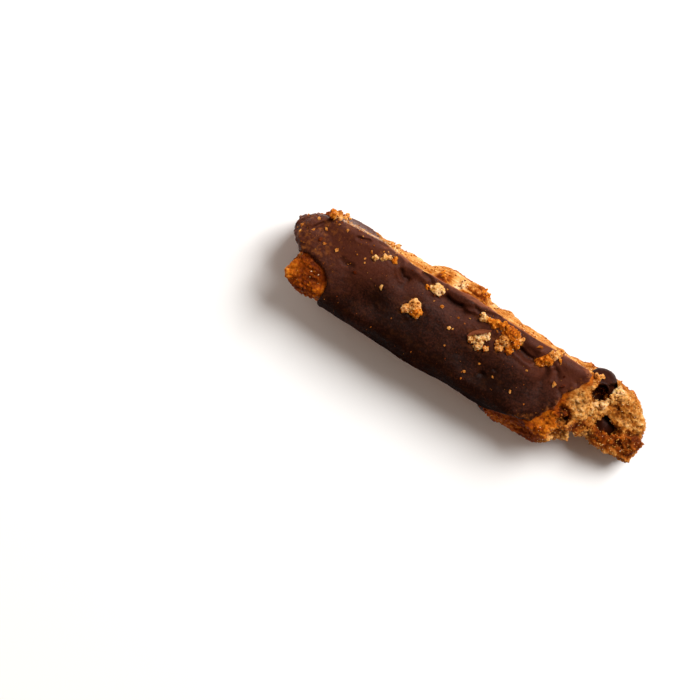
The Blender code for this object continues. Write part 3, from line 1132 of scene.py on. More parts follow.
def surface_spots(
    piece: bpy.types.Object,
    count: int,
    draw: np.random.Generator,
    chance: Callable[[np.ndarray, np.ndarray], np.ndarray],
) -> tuple[np.ndarray, np.ndarray]:
    """Draw places on a surface, evenly by area where the chance is even.

    Args:
        piece: the surface.
        count: how many places are drawn.
        draw: the seeded draws.
        chance: weight of each place, from the middles and normals of the faces.

    Returns:
        The places in millimetres and the normals there.
    """
    mesh = piece.data
    mesh.calc_loop_triangles()
    corners = rows_of(mesh.loop_triangles, "vertices", 3, np.int32)
    a, b, c = points_of(piece)[corners].transpose(1, 0, 2)
    cross = np.cross(b - a, c - a)
    area = np.linalg.norm(cross, axis=1)
    ways = cross / np.maximum(area, 1e-12)[:, None]
    weight = area * chance((a + b + c) / 3.0, ways)
    chosen = draw.choice(len(area), count, p=weight / weight.sum())
    u, v = draw.random((2, count, 1))
    flip = u + v > 1.0
    u, v = np.where(flip, 1.0 - u, u), np.where(flip, 1.0 - v, v)
    a, b, c = a[chosen], b[chosen], c[chosen]
    return a + u * (b - a) + v * (c - a), ways[chosen]


# ---------------------------------------------------------------------------------------------
# The bar's pieces
# ---------------------------------------------------------------------------------------------


# Pits, folds and cracks in the chocolate, from the left end to the break.
MARKS: tuple[Mark, ...] = (
    Mark(((313.0, 228.5), (322.0, 224.5), (332.5, 220.6)), 0.7, 1.0, 1.4),
    Mark(((297.0, 224.0), (304.0, 219.0), (313.0, 216.0)), 0.7, 0.4),
    Mark(((342.0, 259.5), (346.0, 264.0), (352.0, 266.0)), 1.2, 0.4),
    Mark(((309.0, 262.0), (314.0, 258.0), (318.0, 263.0)), 0.8, 0.4),
    Mark(((358.5, 238.5), (364.0, 240.5), (369.0, 241.0)), 0.7, 0.8, 1.5),
    Mark(((380.0, 243.0), (386.0, 246.0)), 0.7, 0.6, 1.3),
    Mark(((401.0, 270.5), (402.5, 277.0), (408.0, 279.5)), 1.0, 0.8),
    Mark(((397.0, 267.0), (398.0, 275.0), (401.0, 281.0)), 0.8, -0.25),
    Mark(((424.0, 273.5), (431.0, 280.5), (431.5, 285.0)), 1.0, 0.8),
    Mark(((447.0, 297.0), (452.0, 302.5), (457.0, 305.0), (462.0, 306.0)), 0.9, 0.8),
    Mark(((462.0, 306.0), (480.0, 311.5), (500.0, 317.5)), 0.8, 0.35),
    Mark(((474.5, 306.5), (478.5, 311.0), (480.0, 315.0)), 0.6, 0.4, 1.3),
    Mark(((519.0, 349.0), (525.0, 356.0), (531.5, 359.5)), 1.2, 1.0, 1.5),
    Mark(((514.5, 353.5), (521.5, 360.5), (528.5, 366.0)), 1.0, -0.35),
    Mark(((481.0, 374.0), (483.0, 375.0)), 0.9, 0.6, 1.3),
    Mark(((494.0, 369.5), (495.5, 370.5)), 0.6, 0.35),
    Mark(((553.5, 366.0), (557.5, 372.5), (558.0, 379.5)), 0.9, 0.5),
    Mark(((546.0, 368.0), (545.5, 375.0), (541.5, 381.0)), 1.1, 0.45),
    Mark(((550.0, 366.0), (551.5, 373.0), (550.5, 381.0)), 0.8, -0.35),
    Mark(((559.0, 390.0), (561.0, 396.0), (560.0, 400.0)), 0.7, 0.4),
)
# Pixels of the frame that the scraped rim runs through, and the coat's ragged edge where the bar
# is snapped.
SCRAPE: PixelPath = ((345.0, 220.6), (385.0, 241.0), (399.0, 252.5))
SNAPPED_EDGE: PixelPath = (
    (588.0, 366.0), (592.0, 375.0), (561.0, 402.0), (538.0, 419.0), (515.0, 416.0),
)  # fmt: skip
# Dark hollows in the torn crumb: the one beside the slit, and the right part of the low one.
HOLES: tuple[Mark, ...] = (
    Mark(((561.5, 408.0), (566.0, 414.0), (569.5, 419.0)), 1.3, 1.6, 1.3),
    Mark(((606.0, 424.5), (613.0, 426.5), (618.0, 430.5)), 1.9, 3.2, 1.8),
)
# The torn side of chip_1, where the hollow below it opens to the right.
CHIP_TEAR = Mark(((606.0, 393.0), (611.0, 391.5), (615.5, 389.0)), 1.7, 3.2, 2.0)


@dataclass(frozen=True)
class Patch:
    """A part of the bare cookie that the photo shows browner or paler than the rest.

    Attributes:
        pixel: where its middle shows in the frame.
        radius: its radius as it shows, in millimetres.
        toast: how much browner it is; below 0 for paler.
        torn: how much more it looks like torn crumb; below 0 for crust.
        dark_chocolate: how much chocolate colour is laid into its hollows as painted shade, from 0 to
            1.
        depth: how far it reaches away from the camera, in millimetres.
    """

    pixel: tuple[float, float]
    radius: float
    toast: float
    torn: float = 0.0
    dark_chocolate: float = 0.0
    depth: float = 5.0

    def share(self, points: np.ndarray) -> np.ndarray:
        """How much of each point the patch covers.

        Args:
            points: places in millimetres.

        Returns:
            Shares from 0 to 1, which fade out away from the camera.
        """
        shares = smooth(self.radius, self.radius * 0.45, VIEW.gaps(points, self.pixel))
        heights = points @ VIEW.axes()[2]
        top = heights[shares > 0.0].max(initial=-FAR)
        return shares * smooth(top - self.depth, top - 0.5 * self.depth, heights)


PATCHES: tuple[Patch, ...] = (
    Patch((303.0, 272.0), 6.5, 0.14, -0.6, depth=14.0),
    Patch((289.0, 266.0), 3.6, -0.26, depth=10.0),
    Patch((392.0, 238.5), 2.4, 0.16, -0.6),
    Patch((398.0, 247.0), 1.6, -0.25, 0.4),
    Patch((447.0, 272.0), 3.0, 0.22, -0.6),
    Patch((462.0, 281.0), 3.0, -0.12, 0.4),
    Patch((487.0, 290.0), 3.2, 0.18, -0.3),
    Patch((497.0, 303.0), 2.4, -0.2, 0.5),
    Patch((532.0, 327.0), 3.0, 0.14, -0.3),
    Patch((609.0, 441.0), 5.2, 0.2, -0.9),
    Patch((632.0, 448.0), 4.5, 0.28, -0.7),
    Patch((580.0, 430.0), 3.0, 0.3, -0.3),
    # Painted shade: darker crumb in the hollow beside the slit.
    Patch((565.5, 413.0), 2.2, 0.45, -0.1),
    Patch((545.0, 432.0), 6.0, -0.12, -0.5),
    Patch((565.0, 430.0), 3.8, 0.05, -0.6),
    # Painted shade: chocolate colour laid into the hollow below chip_1 and into the low hollow.
    Patch((604.0, 394.0), 3.4, 0.3, 0.0, 1.0, 14.0),
    Patch((606.0, 424.0), 2.6, 0.3, 0.0, 1.0, 14.0),
    Patch((613.0, 427.0), 2.2, 0.3, 0.0, 1.0, 14.0),
    Patch((579.0, 393.0), 3.4, -0.12, 0.7),
    Patch((622.0, 395.0), 3.5, -0.12, 0.3),
    Patch((600.0, 408.0), 2.8, -0.12, 0.3),
)


@dataclass
class Cookie:
    """The crumbly cookie itself, from the CAD node, with crumbs set into its bare faces.

    Attributes:
        coarse: voxel of the first remesh in millimetres.
        voxel: voxel of the last remesh in millimetres.
        lift: how far the bed rises to close the gap below the coat, in millimetres.
        lumps: how many crumbs are set into the surface.
        lump_size: half size of the smallest in millimetres, and how much larger they get.
        broken_from: x where the snapped end starts, in millimetres.
        kept: share of the faces below the coat that are kept.
        layers: relief of the bare faces.
        slit: pixels of the frame that the slit in the snapped end runs through.
        slit_room: half width round the slit that stays free of crumbs, in millimetres.
        clear_of_chips: the same round the chips.
        seed: seed of the draws.
        cut_side: y where the cut side starts and where it is reached, in millimetres.
        left_end: the same, in x, of the break at the left.
        rim_smear: the same, in x, of the chocolate that is smeared over the rim at the left.
        coat: the surface of the CAD coat.
        chips: the surfaces of the CAD chips.
    """

    coarse: float = 0.6
    voxel: float = 0.31
    lift: float = 0.5
    lumps: int = 1500
    lump_size: tuple[float, float] = (0.42, 0.75)
    broken_from: float = 27.0
    kept: float = 0.12
    layers: tuple[Relief, ...] = (
        Relief(Pattern.CLOUDS, 4.6, 0.9, Zone.BARE.value),
        Relief(Pattern.CLOUDS, 2.3, 1.1, Zone.INSIDE.value, octaves=1, seed=7.0),
        Relief(Pattern.CLOUDS, 1.3, 0.6, Zone.CRUMBLY.value, sideways=True, octaves=1),
        Relief(Pattern.DOMES, 1.15, -0.6, Zone.CRUMBLY.value, contrast=1.2),
        Relief(Pattern.CLOUDS, 0.7, 0.7, Zone.CUT.value, stretch=7.0, octaves=1, seed=2.0),
        Relief(Pattern.DOMES, 1.6, -0.35, Zone.CUT.value, stretch=1.8, seed=8.0),
        Relief(Pattern.CLOUDS, 0.6, 0.4, Zone.CRUMBLY.value, octaves=1, contrast=1.3, seed=5.0),
    )
    slit: PixelPath = ((571.5, 421.0), (573.0, 427.0), (574.5, 436.0))
    slit_room: float = 1.3
    clear_of_chips: float = 1.3
    seed: int = 11
    cut_side: tuple[float, float] = (7.0, 9.4)
    left_end: tuple[float, float] = (-41.0, -44.0)
    rim_smear: tuple[float, float] = (-27.5, -31.0)
    coat: BVHTree = field(init=False)
    chips: list[BVHTree] = field(init=False)

    def zones(self, points: np.ndarray, ways: np.ndarray) -> dict[Zone, np.ndarray]:
        """How much each point belongs to each kind of bare cookie.

        Args:
            points: places in millimetres.
            ways: normals there.

        Returns:
            Shares from 0 to 1 for each zone.
        """
        x, y, z = points.T
        bare = smooth(0.75, 1.5, distance_to(self.coat, points, 2.0)) * smooth(0.1, 1.2, z)
        end = smooth(self.broken_from, self.broken_from + 3.0, x)
        cut = smooth(*self.cut_side, y) * smooth(0.1, 0.6, ways[:, 1]) * (1.0 - end)
        left = smooth(*self.left_end, x) * smooth(2.5, 6.0, z)
        torn = np.maximum(end * smooth(3.5, 7.5, z), 0.5 * left)
        return {
            Zone.BARE: bare,
            Zone.CRUMBLY: bare * (1.0 - 0.8 * cut),
            Zone.CUT: bare * cut,
            Zone.INSIDE: bare * torn,
            Zone.BAKED: bare * (1.0 - np.maximum(cut, torn)),
        }

    def build(self, moulds: list[Mould]) -> bpy.types.Object:
        """Make the cookie.

        Args:
            moulds: crumbs that are set into the surface.

        Returns:
            The piece that replaces the CAD node.
        """
        self.coat = tree_of(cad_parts["chocolate_coat"])
        self.chips = [tree_of(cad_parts[node]) for node in Chips.nodes]
        piece = merged_copy("cookie", "cookie_crumb")
        remesh(piece, self.coarse)
        points, ways = points_of(piece), normals_of(piece)
        covered = smooth(1.0, 0.55, distance_to(self.coat, points, 1.2))
        points += ways * (self.lift * covered)[:, None]
        points[:, 2] -= covered * (ways[:, 2] > 0.2) * sum(mark.drop(points) for mark in MARKS)
        back = VIEW.axes()[2]
        open_crumb = (1.0 - covered) * smooth(0.0, 0.3, ways @ back)
        points -= back * (open_crumb * sum(hole.drop(points) for hole in HOLES))[:, None]
        put_points(piece, points)
        self.set_lumps(piece, moulds)
        remesh(piece, self.voxel)
        points = points_of(piece)
        off_slit = smooth(0.4 * self.slit_room, self.slit_room, VIEW.path_gaps(points, self.slit))
        for zone, share in self.zones(points, normals_of(piece)).items():
            put_group(piece, zone.value, share * off_slit)
        press_all(piece, self.layers)
        piece.vertex_groups.clear()
        points = points_of(piece)
        points[:, 2] = np.maximum(points[:, 2], 0.0)
        put_points(piece, points)
        self.thin_bed(piece)
        self.shade(piece)
        return piece

    def set_lumps(self, piece: bpy.types.Object, moulds: list[Mould]) -> None:
        """Sink crumbs into the bare faces, most and the largest of them at the snapped ends.

        Args:
            piece: the cookie.
            moulds: the crumbs.
        """
        draw = np.random.default_rng(self.seed)

        def chance(middles: np.ndarray, ways: np.ndarray) -> np.ndarray:
            """More crumbs at the ends, few on the cut side, none underneath.

            Args:
                middles: middles of the faces, in millimetres.
                ways: their normals.

            Returns:
                A weight for each face.
            """
            zones = self.zones(middles, ways)
            share = zones[Zone.BAKED] + 1.6 * zones[Zone.INSIDE] + 0.2 * zones[Zone.CUT]
            for chip in self.chips:
                share *= distance_to(chip, middles, 2.0) > self.clear_of_chips
            share *= VIEW.path_gaps(middles, self.slit) > self.slit_room
            return share * (ways[:, 2] > -0.75) * smooth(0.6, 1.6, middles[:, 2])

        spots, ways = surface_spots(piece, self.lumps, draw, chance)
        strewing = Strewing(moulds)
        least, more = self.lump_size
        for spot, way in zip(spots, ways):
            snapped = float(smooth(self.broken_from, self.broken_from + 4.0, spot[0]))
            size = least + more * draw.random() ** 2.6 * (1.0 + 0.3 * snapped)
            strewing.add(draw, spot - way * size * 0.55, size, flat=0.75, up=way)
        join_into(piece, [strewing.build("lumps")])

    def thin_bed(self, piece: bpy.types.Object) -> None:
        """Thin out the faces that lie below the coat, where nothing shows.

        Args:
            piece: the cookie.
        """
        hidden = distance_to(self.coat, points_of(piece), 0.8) < 0.6
        hidden &= normals_of(piece)[:, 2] > -0.2
        edit_vertices(piece, hidden, bpy.ops.mesh.decimate, ratio=self.kept)

    def shade(self, piece: bpy.types.Object) -> None:
        """Store how brown and how torn each point is, paler on raised points as painted light, the
        gaps as painted shade, and the smeared chocolate, whose colour also lays painted shade in a
        few hollows.

        Args:
            piece: the finished cookie.
        """
        points, ways = points_of(piece), normals_of(piece)
        z = points[:, 2]
        zones = self.zones(points, ways)
        # Painted shade: the gaps are darkened by how deep they lie.
        near_gap_shade = smooth(0.02, 0.2, hollows(piece, 4))
        wide_gap_shade = smooth(0.05, 0.6, hollows(piece, 24))
        proud = smooth(0.0, -0.22, hollows(piece, 8))
        # Painted light: raised points are laid paler.
        toast = 0.54 - 0.06 * zones[Zone.INSIDE] - 0.2 * zones[Zone.CUT] - 0.12 * proud
        toast += 0.14 * smooth(6.0, 1.5, z) + 0.1 * smooth(-0.5, -0.95, ways[:, 2])
        torn = zones[Zone.INSIDE] + 0.7 * zones[Zone.CUT]
        dark_chocolate = 0.92 * self.smeared(points)
        for patch in PATCHES:
            share = patch.share(points)
            toast += patch.toast * share
            torn += patch.torn * share
            # Chocolate colour from the patches is painted shade, laid only into the wide hollows.
            dark_chocolate = np.maximum(dark_chocolate, patch.dark_chocolate * share * smooth(0.1, 0.5, wide_gap_shade))
        put_attribute(piece, "toast", toast + 0.16 * spread_noise(points, 6.0, 3.0))
        put_attribute(piece, "inside", np.clip(torn, 0.0, 1.0))
        gap = (0.4 * near_gap_shade + 0.6 * wide_gap_shade) * (1.0 - 0.5 * zones[Zone.CUT])
        put_attribute(piece, "gap", np.clip(gap, 0.0, 0.9))
        put_attribute(piece, "layers", zones[Zone.CUT])
        put_attribute(piece, "smear_and_painted_shade", dark_chocolate)

    def smeared(self, points: np.ndarray) -> np.ndarray:
        """How much chocolate is smeared over each point beyond the rim at the left.

        Args:
            points: places in millimetres.

        Returns:
            Shares from 0 to 1.
        """
        x, y, z = points.T
        region = smooth(7.0, 8.4, y) * smooth(*self.rim_smear, x) * smooth(3.0, 8.0, z)
        return region * smooth(-0.75, -0.35, spread_noise(points / (3.0, 1.0, 1.0), 1.6, 17.0))


@dataclass(frozen=True)
class Heap:
    """Crumbs that are stuck together on the chocolate.

    Attributes:
        pixel: where its middle shows in the frame.
        radius: its radius in plan, in millimetres.
        height: how high it stands, in millimetres.
        toast: how brown it is.
    """

    pixel: tuple[float, float]
    radius: float
    height: float
    toast: Toast


# Clusters on the chocolate, from the left end to the break.
CLUSTERS: tuple[tuple[Heap, ...], ...] = (
    (
        Heap((329.0, 212.5), 0.9, 0.8, Toast.BROWN),
        Heap((334.0, 213.5), 1.2, 0.9, Toast.ORANGE),
        Heap((340.0, 214.0), 1.4, 0.9, Toast.GOLDEN),
        Heap((346.5, 215.5), 1.3, 0.8, Toast.GOLDEN),
    ),
    (
        Heap((375.3, 258.2), 0.75, 0.9, Toast.PALE),
        Heap((384.0, 257.6), 1.0, 1.0, Toast.CREAM),
        Heap((388.0, 256.5), 0.9, 0.8, Toast.PALE),
        Heap((395.9, 261.2), 0.85, 0.8, Toast.ORANGE),
    ),
    (
        Heap((414.7, 306.0), 1.6, 2.6, Toast.GOLDEN),
        Heap((416.0, 312.0), 1.4, 2.2, Toast.ORANGE),
        Heap((405.5, 308.5), 1.0, 1.6, Toast.GOLDEN),
    ),
    (
        Heap((439.0, 290.3), 1.5, 1.4, Toast.CREAM),
        Heap((434.0, 289.0), 0.9, 1.0, Toast.PALE),
        Heap((427.5, 287.2), 0.55, 0.6, Toast.ORANGE),
    ),
    (
        Heap((472.0, 338.0), 1.2, 1.4, Toast.PALE),
        Heap((478.0, 341.0), 1.5, 1.6, Toast.CREAM),
        Heap((485.0, 336.5), 1.1, 1.4, Toast.PALE),
        Heap((477.0, 346.5), 1.0, 1.2, Toast.CREAM),
        Heap((485.6, 348.6), 0.5, 0.5, Toast.GOLDEN),
    ),
    (
        Heap((483.5, 317.7), 1.1, 1.3, Toast.PALE),
        Heap((490.0, 321.0), 0.9, 0.9, Toast.ORANGE),
        Heap((496.0, 323.5), 1.1, 1.0, Toast.ORANGE),
    ),
    (
        Heap((503.0, 325.5), 1.1, 1.4, Toast.ORANGE),
        Heap((507.0, 330.0), 1.4, 2.0, Toast.ORANGE),
        Heap((512.5, 336.0), 1.8, 2.6, Toast.ORANGE),
        Heap((505.0, 341.0), 1.5, 2.4, Toast.GOLDEN),
        Heap((515.5, 344.0), 1.5, 2.2, Toast.ORANGE),
        Heap((509.5, 350.0), 1.1, 1.4, Toast.ORANGE),
        Heap((498.5, 349.0), 0.9, 1.2, Toast.GOLDEN),
        Heap((497.5, 342.0), 0.8, 1.0, Toast.GOLDEN),
        Heap((520.5, 341.0), 0.9, 1.2, Toast.GOLDEN),
    ),
    (
        Heap((541.0, 362.0), 1.2, 1.2, Toast.ORANGE),
        Heap((547.0, 360.0), 1.4, 1.4, Toast.ORANGE),
        Heap((553.0, 355.5), 1.2, 1.4, Toast.GOLDEN),
        Heap((560.0, 354.0), 1.0, 1.0, Toast.GOLDEN),
        Heap((559.0, 360.5), 0.45, 0.6, Toast.ORANGE),
    ),
)
ON_COAT: tuple[Heap, ...] = sum(CLUSTERS, ())
# Heaps on the bare cookie: along the cut side, and over the edge of the torn chip.
OFF_COAT: tuple[Heap, ...] = (
    Heap((392.5, 242.5), 1.3, 0.6, Toast.GOLDEN),
    Heap((397.0, 248.0), 0.9, 0.6, Toast.CREAM),
    Heap((446.0, 273.5), 1.3, 0.4, Toast.ORANGE),
    Heap((464.0, 284.5), 1.1, 0.5, Toast.CREAM),
    Heap((488.0, 293.0), 1.3, 0.7, Toast.ORANGE),
    Heap((497.0, 304.5), 1.1, 0.6, Toast.CREAM),
    Heap((597.0, 378.0), 1.2, 0.9, Toast.GOLDEN),
    Heap((602.5, 376.0), 0.8, 0.7, Toast.GOLDEN),
    Heap((598.5, 404.0), 1.1, 0.8, Toast.PALE),
    Heap((604.5, 406.0), 1.0, 0.8, Toast.PALE),
    Heap((620.5, 391.0), 1.2, 0.8, Toast.CREAM),
    Heap((616.5, 397.0), 1.1, 0.8, Toast.PALE),
    Heap((611.5, 402.5), 1.0, 0.7, Toast.PALE),
)


@dataclass
class Coat:
    """The chocolate that was poured over the bar, from the CAD node.

    Attributes:
        voxel: voxel of the remesh in millimetres.
        even: how many times the facets are smoothed out.
        margin: how far round a cluster its lump is taken off the coat, in millimetres.
        ring: width of the ring round that, which says how high the coat lies there.
        foot: how far below that ring the lump is still looked for, in millimetres.
        dusting: how far round a heap crumb is rubbed into the chocolate, in millimetres.
        layers: relief of the snapped ends and of the whole coat.
        scuffed: x where the scuffed left end starts and where it is reached, in millimetres.
        rim: the same, in y, of the rim along the cut side.
        bare_rim: the same, in x, of the rim that no tongue of chocolate covers.
        broken: the same, in x, of the break at the right.
        polished: the same, in y, of the part that isn't rubbed dull.
    """

    voxel: float = 0.33
    even: int = 7
    margin: float = 1.0
    ring: float = 1.6
    foot: float = 0.9
    dusting: float = 1.6
    layers: tuple[Relief, ...] = (
        Relief(Pattern.CLOUDS, 2.4, 1.5, ENDS, sideways=True, octaves=1, seed=6.0),
        Relief(Pattern.CLOUDS, 1.0, 0.7, ENDS, sideways=True, octaves=1, seed=9.0),
        Relief(Pattern.CLOUDS, 8.0, 0.45),
        Relief(Pattern.CLOUDS, 3.0, 0.18, octaves=1, seed=2.0),
        Relief(Pattern.CLOUDS, 0.9, 0.12, octaves=1, seed=4.0),
    )
    scuffed: tuple[float, float] = (-34.0, -46.0)
    rim: tuple[float, float] = (8.4, 9.6)
    bare_rim: tuple[float, float] = (-31.0, -27.0)
    broken: tuple[float, float] = (21.0, 27.0)
    polished: tuple[float, float] = (-11.0, -5.5)

    def build(self) -> bpy.types.Object:
        """Make the coat without the crumbs that are fused to its CAD node.

        Returns:
            The piece that replaces the CAD node.
        """
        piece = merged_copy("chocolate_coat", "chocolate_skin")
        remesh(piece, self.voxel)
        for cluster in CLUSTERS:
            self.level(piece, cluster)
        remesh(piece, self.voxel)
        apply_modifier(piece, "SMOOTH", factor=0.5, iterations=self.even)
        points = points_of(piece)
        snapped = smooth(2.6, 0.6, VIEW.path_gaps(points, SNAPPED_EDGE))
        put_group(piece, ENDS, np.maximum(smooth(-44.0, -49.0, points[:, 0]), 0.9 * snapped))
        press_all(piece, self.layers)
        points = points_of(piece)
        level = smooth(0.2, 0.6, np.abs(normals_of(piece)[:, 2]))
        points[:, 2] -= level * sum(mark.drop(points) for mark in MARKS)
        put_points(piece, points)
        self.shade(piece)
        return piece

    def level(self, piece: bpy.types.Object, cluster: tuple[Heap, ...]) -> None:
        """Bring the lump of one cluster down to the coat round it.

        Args:
            piece: the coat.
            cluster: the heaps of crumbs that lie there.
        """
        points = points_of(piece)
        upper = normals_of(piece)[:, 2] > 0.3
        gaps = np.full(len(points), FAR)
        for heap in cluster:
            gaps = np.minimum(gaps, VIEW.gaps(points, heap.pixel) - heap.radius)
        ring = points[upper & (gaps > self.margin) & (gaps < self.margin + self.ring)]
        floor = np.median(ring[:, 2]) - self.foot
        for index in np.flatnonzero((gaps < self.margin) & (points[:, 2] > floor)):
            far = np.linalg.norm(ring[:, :2] - points[index, :2], axis=1)
            shares = 1.0 / np.maximum(far, 0.2) ** 3
            level = (ring[:, 2] * shares).sum() / shares.sum()
            points[index, 2] = min(points[index, 2], level)
        put_points(piece, points)

    def shade(self, piece: bpy.types.Object) -> None:
        """Store the bloom with painted light and shade, thin edges with a painted highlight on the
        rim, crumb dust, scraped rim and the dull side away from the cut.

        Args:
            piece: the finished coat.
        """
        points = points_of(piece)
        x, y, z = points.T
        # The edge colour marks thin chocolate at the outline and lays a painted highlight on the
        # raised rim of the cut side, which faces the light.
        rim = smooth(*self.rim, y) * smooth(*self.bare_rim, x)
        outline = np.maximum(rim, smooth(*self.broken, x))
        outline *= smooth(0.9, 0.55, normals_of(piece)[:, 2])
        depths = hollows(piece, 20)
        proud = smooth(-0.08, -0.28, depths)
        snapped = smooth(2.2, 0.2, VIEW.path_gaps(points, SNAPPED_EDGE))
        dust = np.maximum(0.7 * smooth(*self.scuffed, x), 0.7 * snapped)
        for heap in ON_COAT:
            near = smooth(heap.radius + self.dusting, 0.0, VIEW.gaps(points, heap.pixel))
            dust = np.maximum(dust, 0.6 * near)
        scraped = VIEW.path_gaps(points, SCRAPE)
        # Painted light and shade: the bloom colour is laid lighter towards the cut side, where the
        # light comes from, and towards both ends, so the middle of the near side stays darker;
        # hollows get painted shade; the noise is uneven bloom.
        ends = 0.6 * smooth(-20.0, -36.0, x) + 0.35 * smooth(8.0, 18.0, x)
        bloom_and_painted_light = 0.7 * smooth(-1.5, 7.0, y) + ends * smooth(-9.0, 1.0, y)
        bloom_and_painted_light += 0.2 * spread_noise(points, 9.0, 5.0) - 0.35 * smooth(0.03, 0.25, depths)
        put_attribute(piece, "bloom_and_painted_light", np.clip(bloom_and_painted_light, 0.0, 1.0))
        put_attribute(piece, "edge", 0.85 * outline * proud)
        put_attribute(piece, "polish", smooth(*self.polished, y))
        put_attribute(piece, "dust", np.clip(dust + 0.05, 0.0, 1.0))
        put_attribute(piece, "scrape", smooth(0.55, 0.15, scraped) * smooth(13.0, 14.5, z))


@dataclass
class StuckCrumbs:
    """All clusters of crumbs, remeshed together so that the crumbs of each are one mass.

    Attributes:
        voxel: voxel of the remesh in millimetres.
        least: how many vertices a loose crumb needs to be kept.
        crowd: crumbs to each cubic millimetre of a heap.
        crumb_size: half size of the smallest in millimetres, and how much larger they get.
        overhang: how far crumbs past the rim may hang below their heap, in millimetres.
        layers: relief of the crumbs.
        seed: seed of the draws.
    """

    voxel: float = 0.17
    least: int = 30
    crowd: float = 4.6
    crumb_size: tuple[float, float] = (0.28, 0.5)
    overhang: float = 0.9
    layers: tuple[Relief, ...] = (
        Relief(Pattern.DOMES, 0.9, -0.28),
        Relief(Pattern.CLOUDS, 0.8, 0.22, sideways=True, octaves=1),
        Relief(Pattern.CLOUDS, 0.45, 0.14, octaves=1, seed=2.0),
    )
    seed: int = 23

    def build(
        self, pieces: Iterable[bpy.types.Object], moulds: list[Mould]
    ) -> bpy.types.Object:
        """Heap the crumbs of each cluster on what it lies on.

        Args:
            pieces: the finished pieces that carry clusters.
            moulds: the crumbs.

        Returns:
            The clusters as one piece.
        """
        draw = np.random.default_rng(self.seed)
        below = [tree_of(piece) for piece in pieces]
        strewing = Strewing(moulds)
        back = VIEW.axes()[2]
        least, more = self.crumb_size
        for heap in ON_COAT + OFF_COAT:
            held = VIEW.look(below, heap.pixel)
            level = VIEW.middle[2] if held is None else held[0][2]
            for _ in range(max(4, round(self.crowd * math.pi * heap.radius**2 * heap.height))):
                angle, share = draw.uniform(0.0, math.tau), math.sqrt(draw.random())
                reach = 0.85 * heap.radius * share * VIEW.scale
                pixel = np.array(heap.pixel) + reach * np.array((math.cos(angle), math.sin(angle)))
                landed = VIEW.look(below, pixel)
                if landed is None and heap in OFF_COAT:
                    continue
                if landed is None or landed[0][2] < level - self.overhang:
                    foot = VIEW.at_height(pixel, level - self.overhang)
                else:
                    foot = landed[0]
                stack = heap.height * (1.0 - share**1.6) * draw.uniform(0.0, 0.8)
                size = least + more * draw.random() ** 1.6
                strewing.add(draw, foot + back * stack, size)
        piece = strewing.build("stuck_crumbs")
        remesh(piece, self.voxel)
        drop_slivers(piece, self.least)
        press_all(piece, self.layers)
        self.shade(piece)
        return piece

    def shade(self, piece: bpy.types.Object) -> None:
        """Store how brown each heap is, paler on raised points as painted light, and its gaps as
        painted shade.

        Args:
            piece: the finished clusters.
        """
        points = points_of(piece)
        toast, nearest = np.full(len(points), 0.5), np.full(len(points), FAR)
        for heap in ON_COAT + OFF_COAT:
            off = VIEW.gaps(points, heap.pixel) - heap.radius
            toast = np.where(off < nearest, heap.toast.value, toast)
            nearest = np.minimum(off, nearest)
        # Painted light and shade: raised points are laid paler and the gaps darker.
        proud = smooth(0.0, -0.18, hollows(piece, 8))
        put_attribute(piece, "toast", toast - 0.12 - 0.12 * proud)
        put_attribute(piece, "inside", smooth(Toast.ORANGE.value, Toast.PALE.value, toast))
        put_attribute(piece, "gap", 0.5 * smooth(0.02, 0.16, hollows(piece, 4)))


@dataclass
class CrumbCap:
    """Shard of thin chocolate that still sits on the upper edge of one cluster.

    Attributes:
        path: pixels of the frame that its edge runs through.
        size: its width and thickness, in millimetres.
        rise: how far it stands above the coat, in millimetres.
    """

    path: PixelPath = (
        (466.5, 336.0), (472.0, 333.0), (478.5, 332.0), (485.0, 331.5), (491.0, 331.0),
    )  # fmt: skip
    size: tuple[float, float] = (1.0, 0.45)
    rise: float = 1.5

    def build(self, coat: bpy.types.Object) -> bpy.types.Object:
        """Model the shard along its edge.

        Args:
            coat: the finished coat.

        Returns:
            The shard.
        """
        below, back = [tree_of(coat)], VIEW.axes()[2]
        tops = [VIEW.look(below, pixel)[0] + back * self.rise for pixel in self.path]
        start, end = tops[0], tops[-1]
        length = float(np.linalg.norm(end - start))
        turn = math.atan2(*(end - start)[1::-1])
        bpy.ops.object.select_all(action="DESELECT")
        bpy.ops.mesh.primitive_cube_add(size=1.0)
        shard = bpy.context.active_object
        shard.name = "crumb_cap"
        bpy.ops.object.mode_set(mode="EDIT")
        bpy.ops.mesh.select_all(action="SELECT")
        bpy.ops.transform.resize(value=(length * MM, self.size[0] * MM, self.size[1] * MM))
        bpy.ops.mesh.subdivide(number_cuts=7)
        bpy.ops.transform.vertex_random(offset=0.14 * MM, uniform=1.0, seed=7)
        bpy.ops.object.mode_set(mode="OBJECT")
        points = points_of(shard)
        share = points[:, 0] / length + 0.5
        points[:, 1] *= 1.0 - 0.75 * np.abs(2.0 * share - 1.0) ** 2
        turned = points @ np.array(Matrix.Rotation(-turn, 3, "Z"))
        turned -= turned.mean(0)
        path_share = np.linspace(0.0, 1.0, len(tops))
        middles = np.array(tops)
        straight = start + share[:, None] * (end - start)
        bent = np.array([np.interp(share, path_share, middles[:, axis]) for axis in range(3)]).T
        put_points(shard, turned + (start + end) / 2.0 + bent - straight)
        apply_modifier(shard, "SUBSURF", levels=1, render_levels=1)
        put_attribute(shard, "edge", np.full(len(shard.data.vertices), 0.75))
        return shard


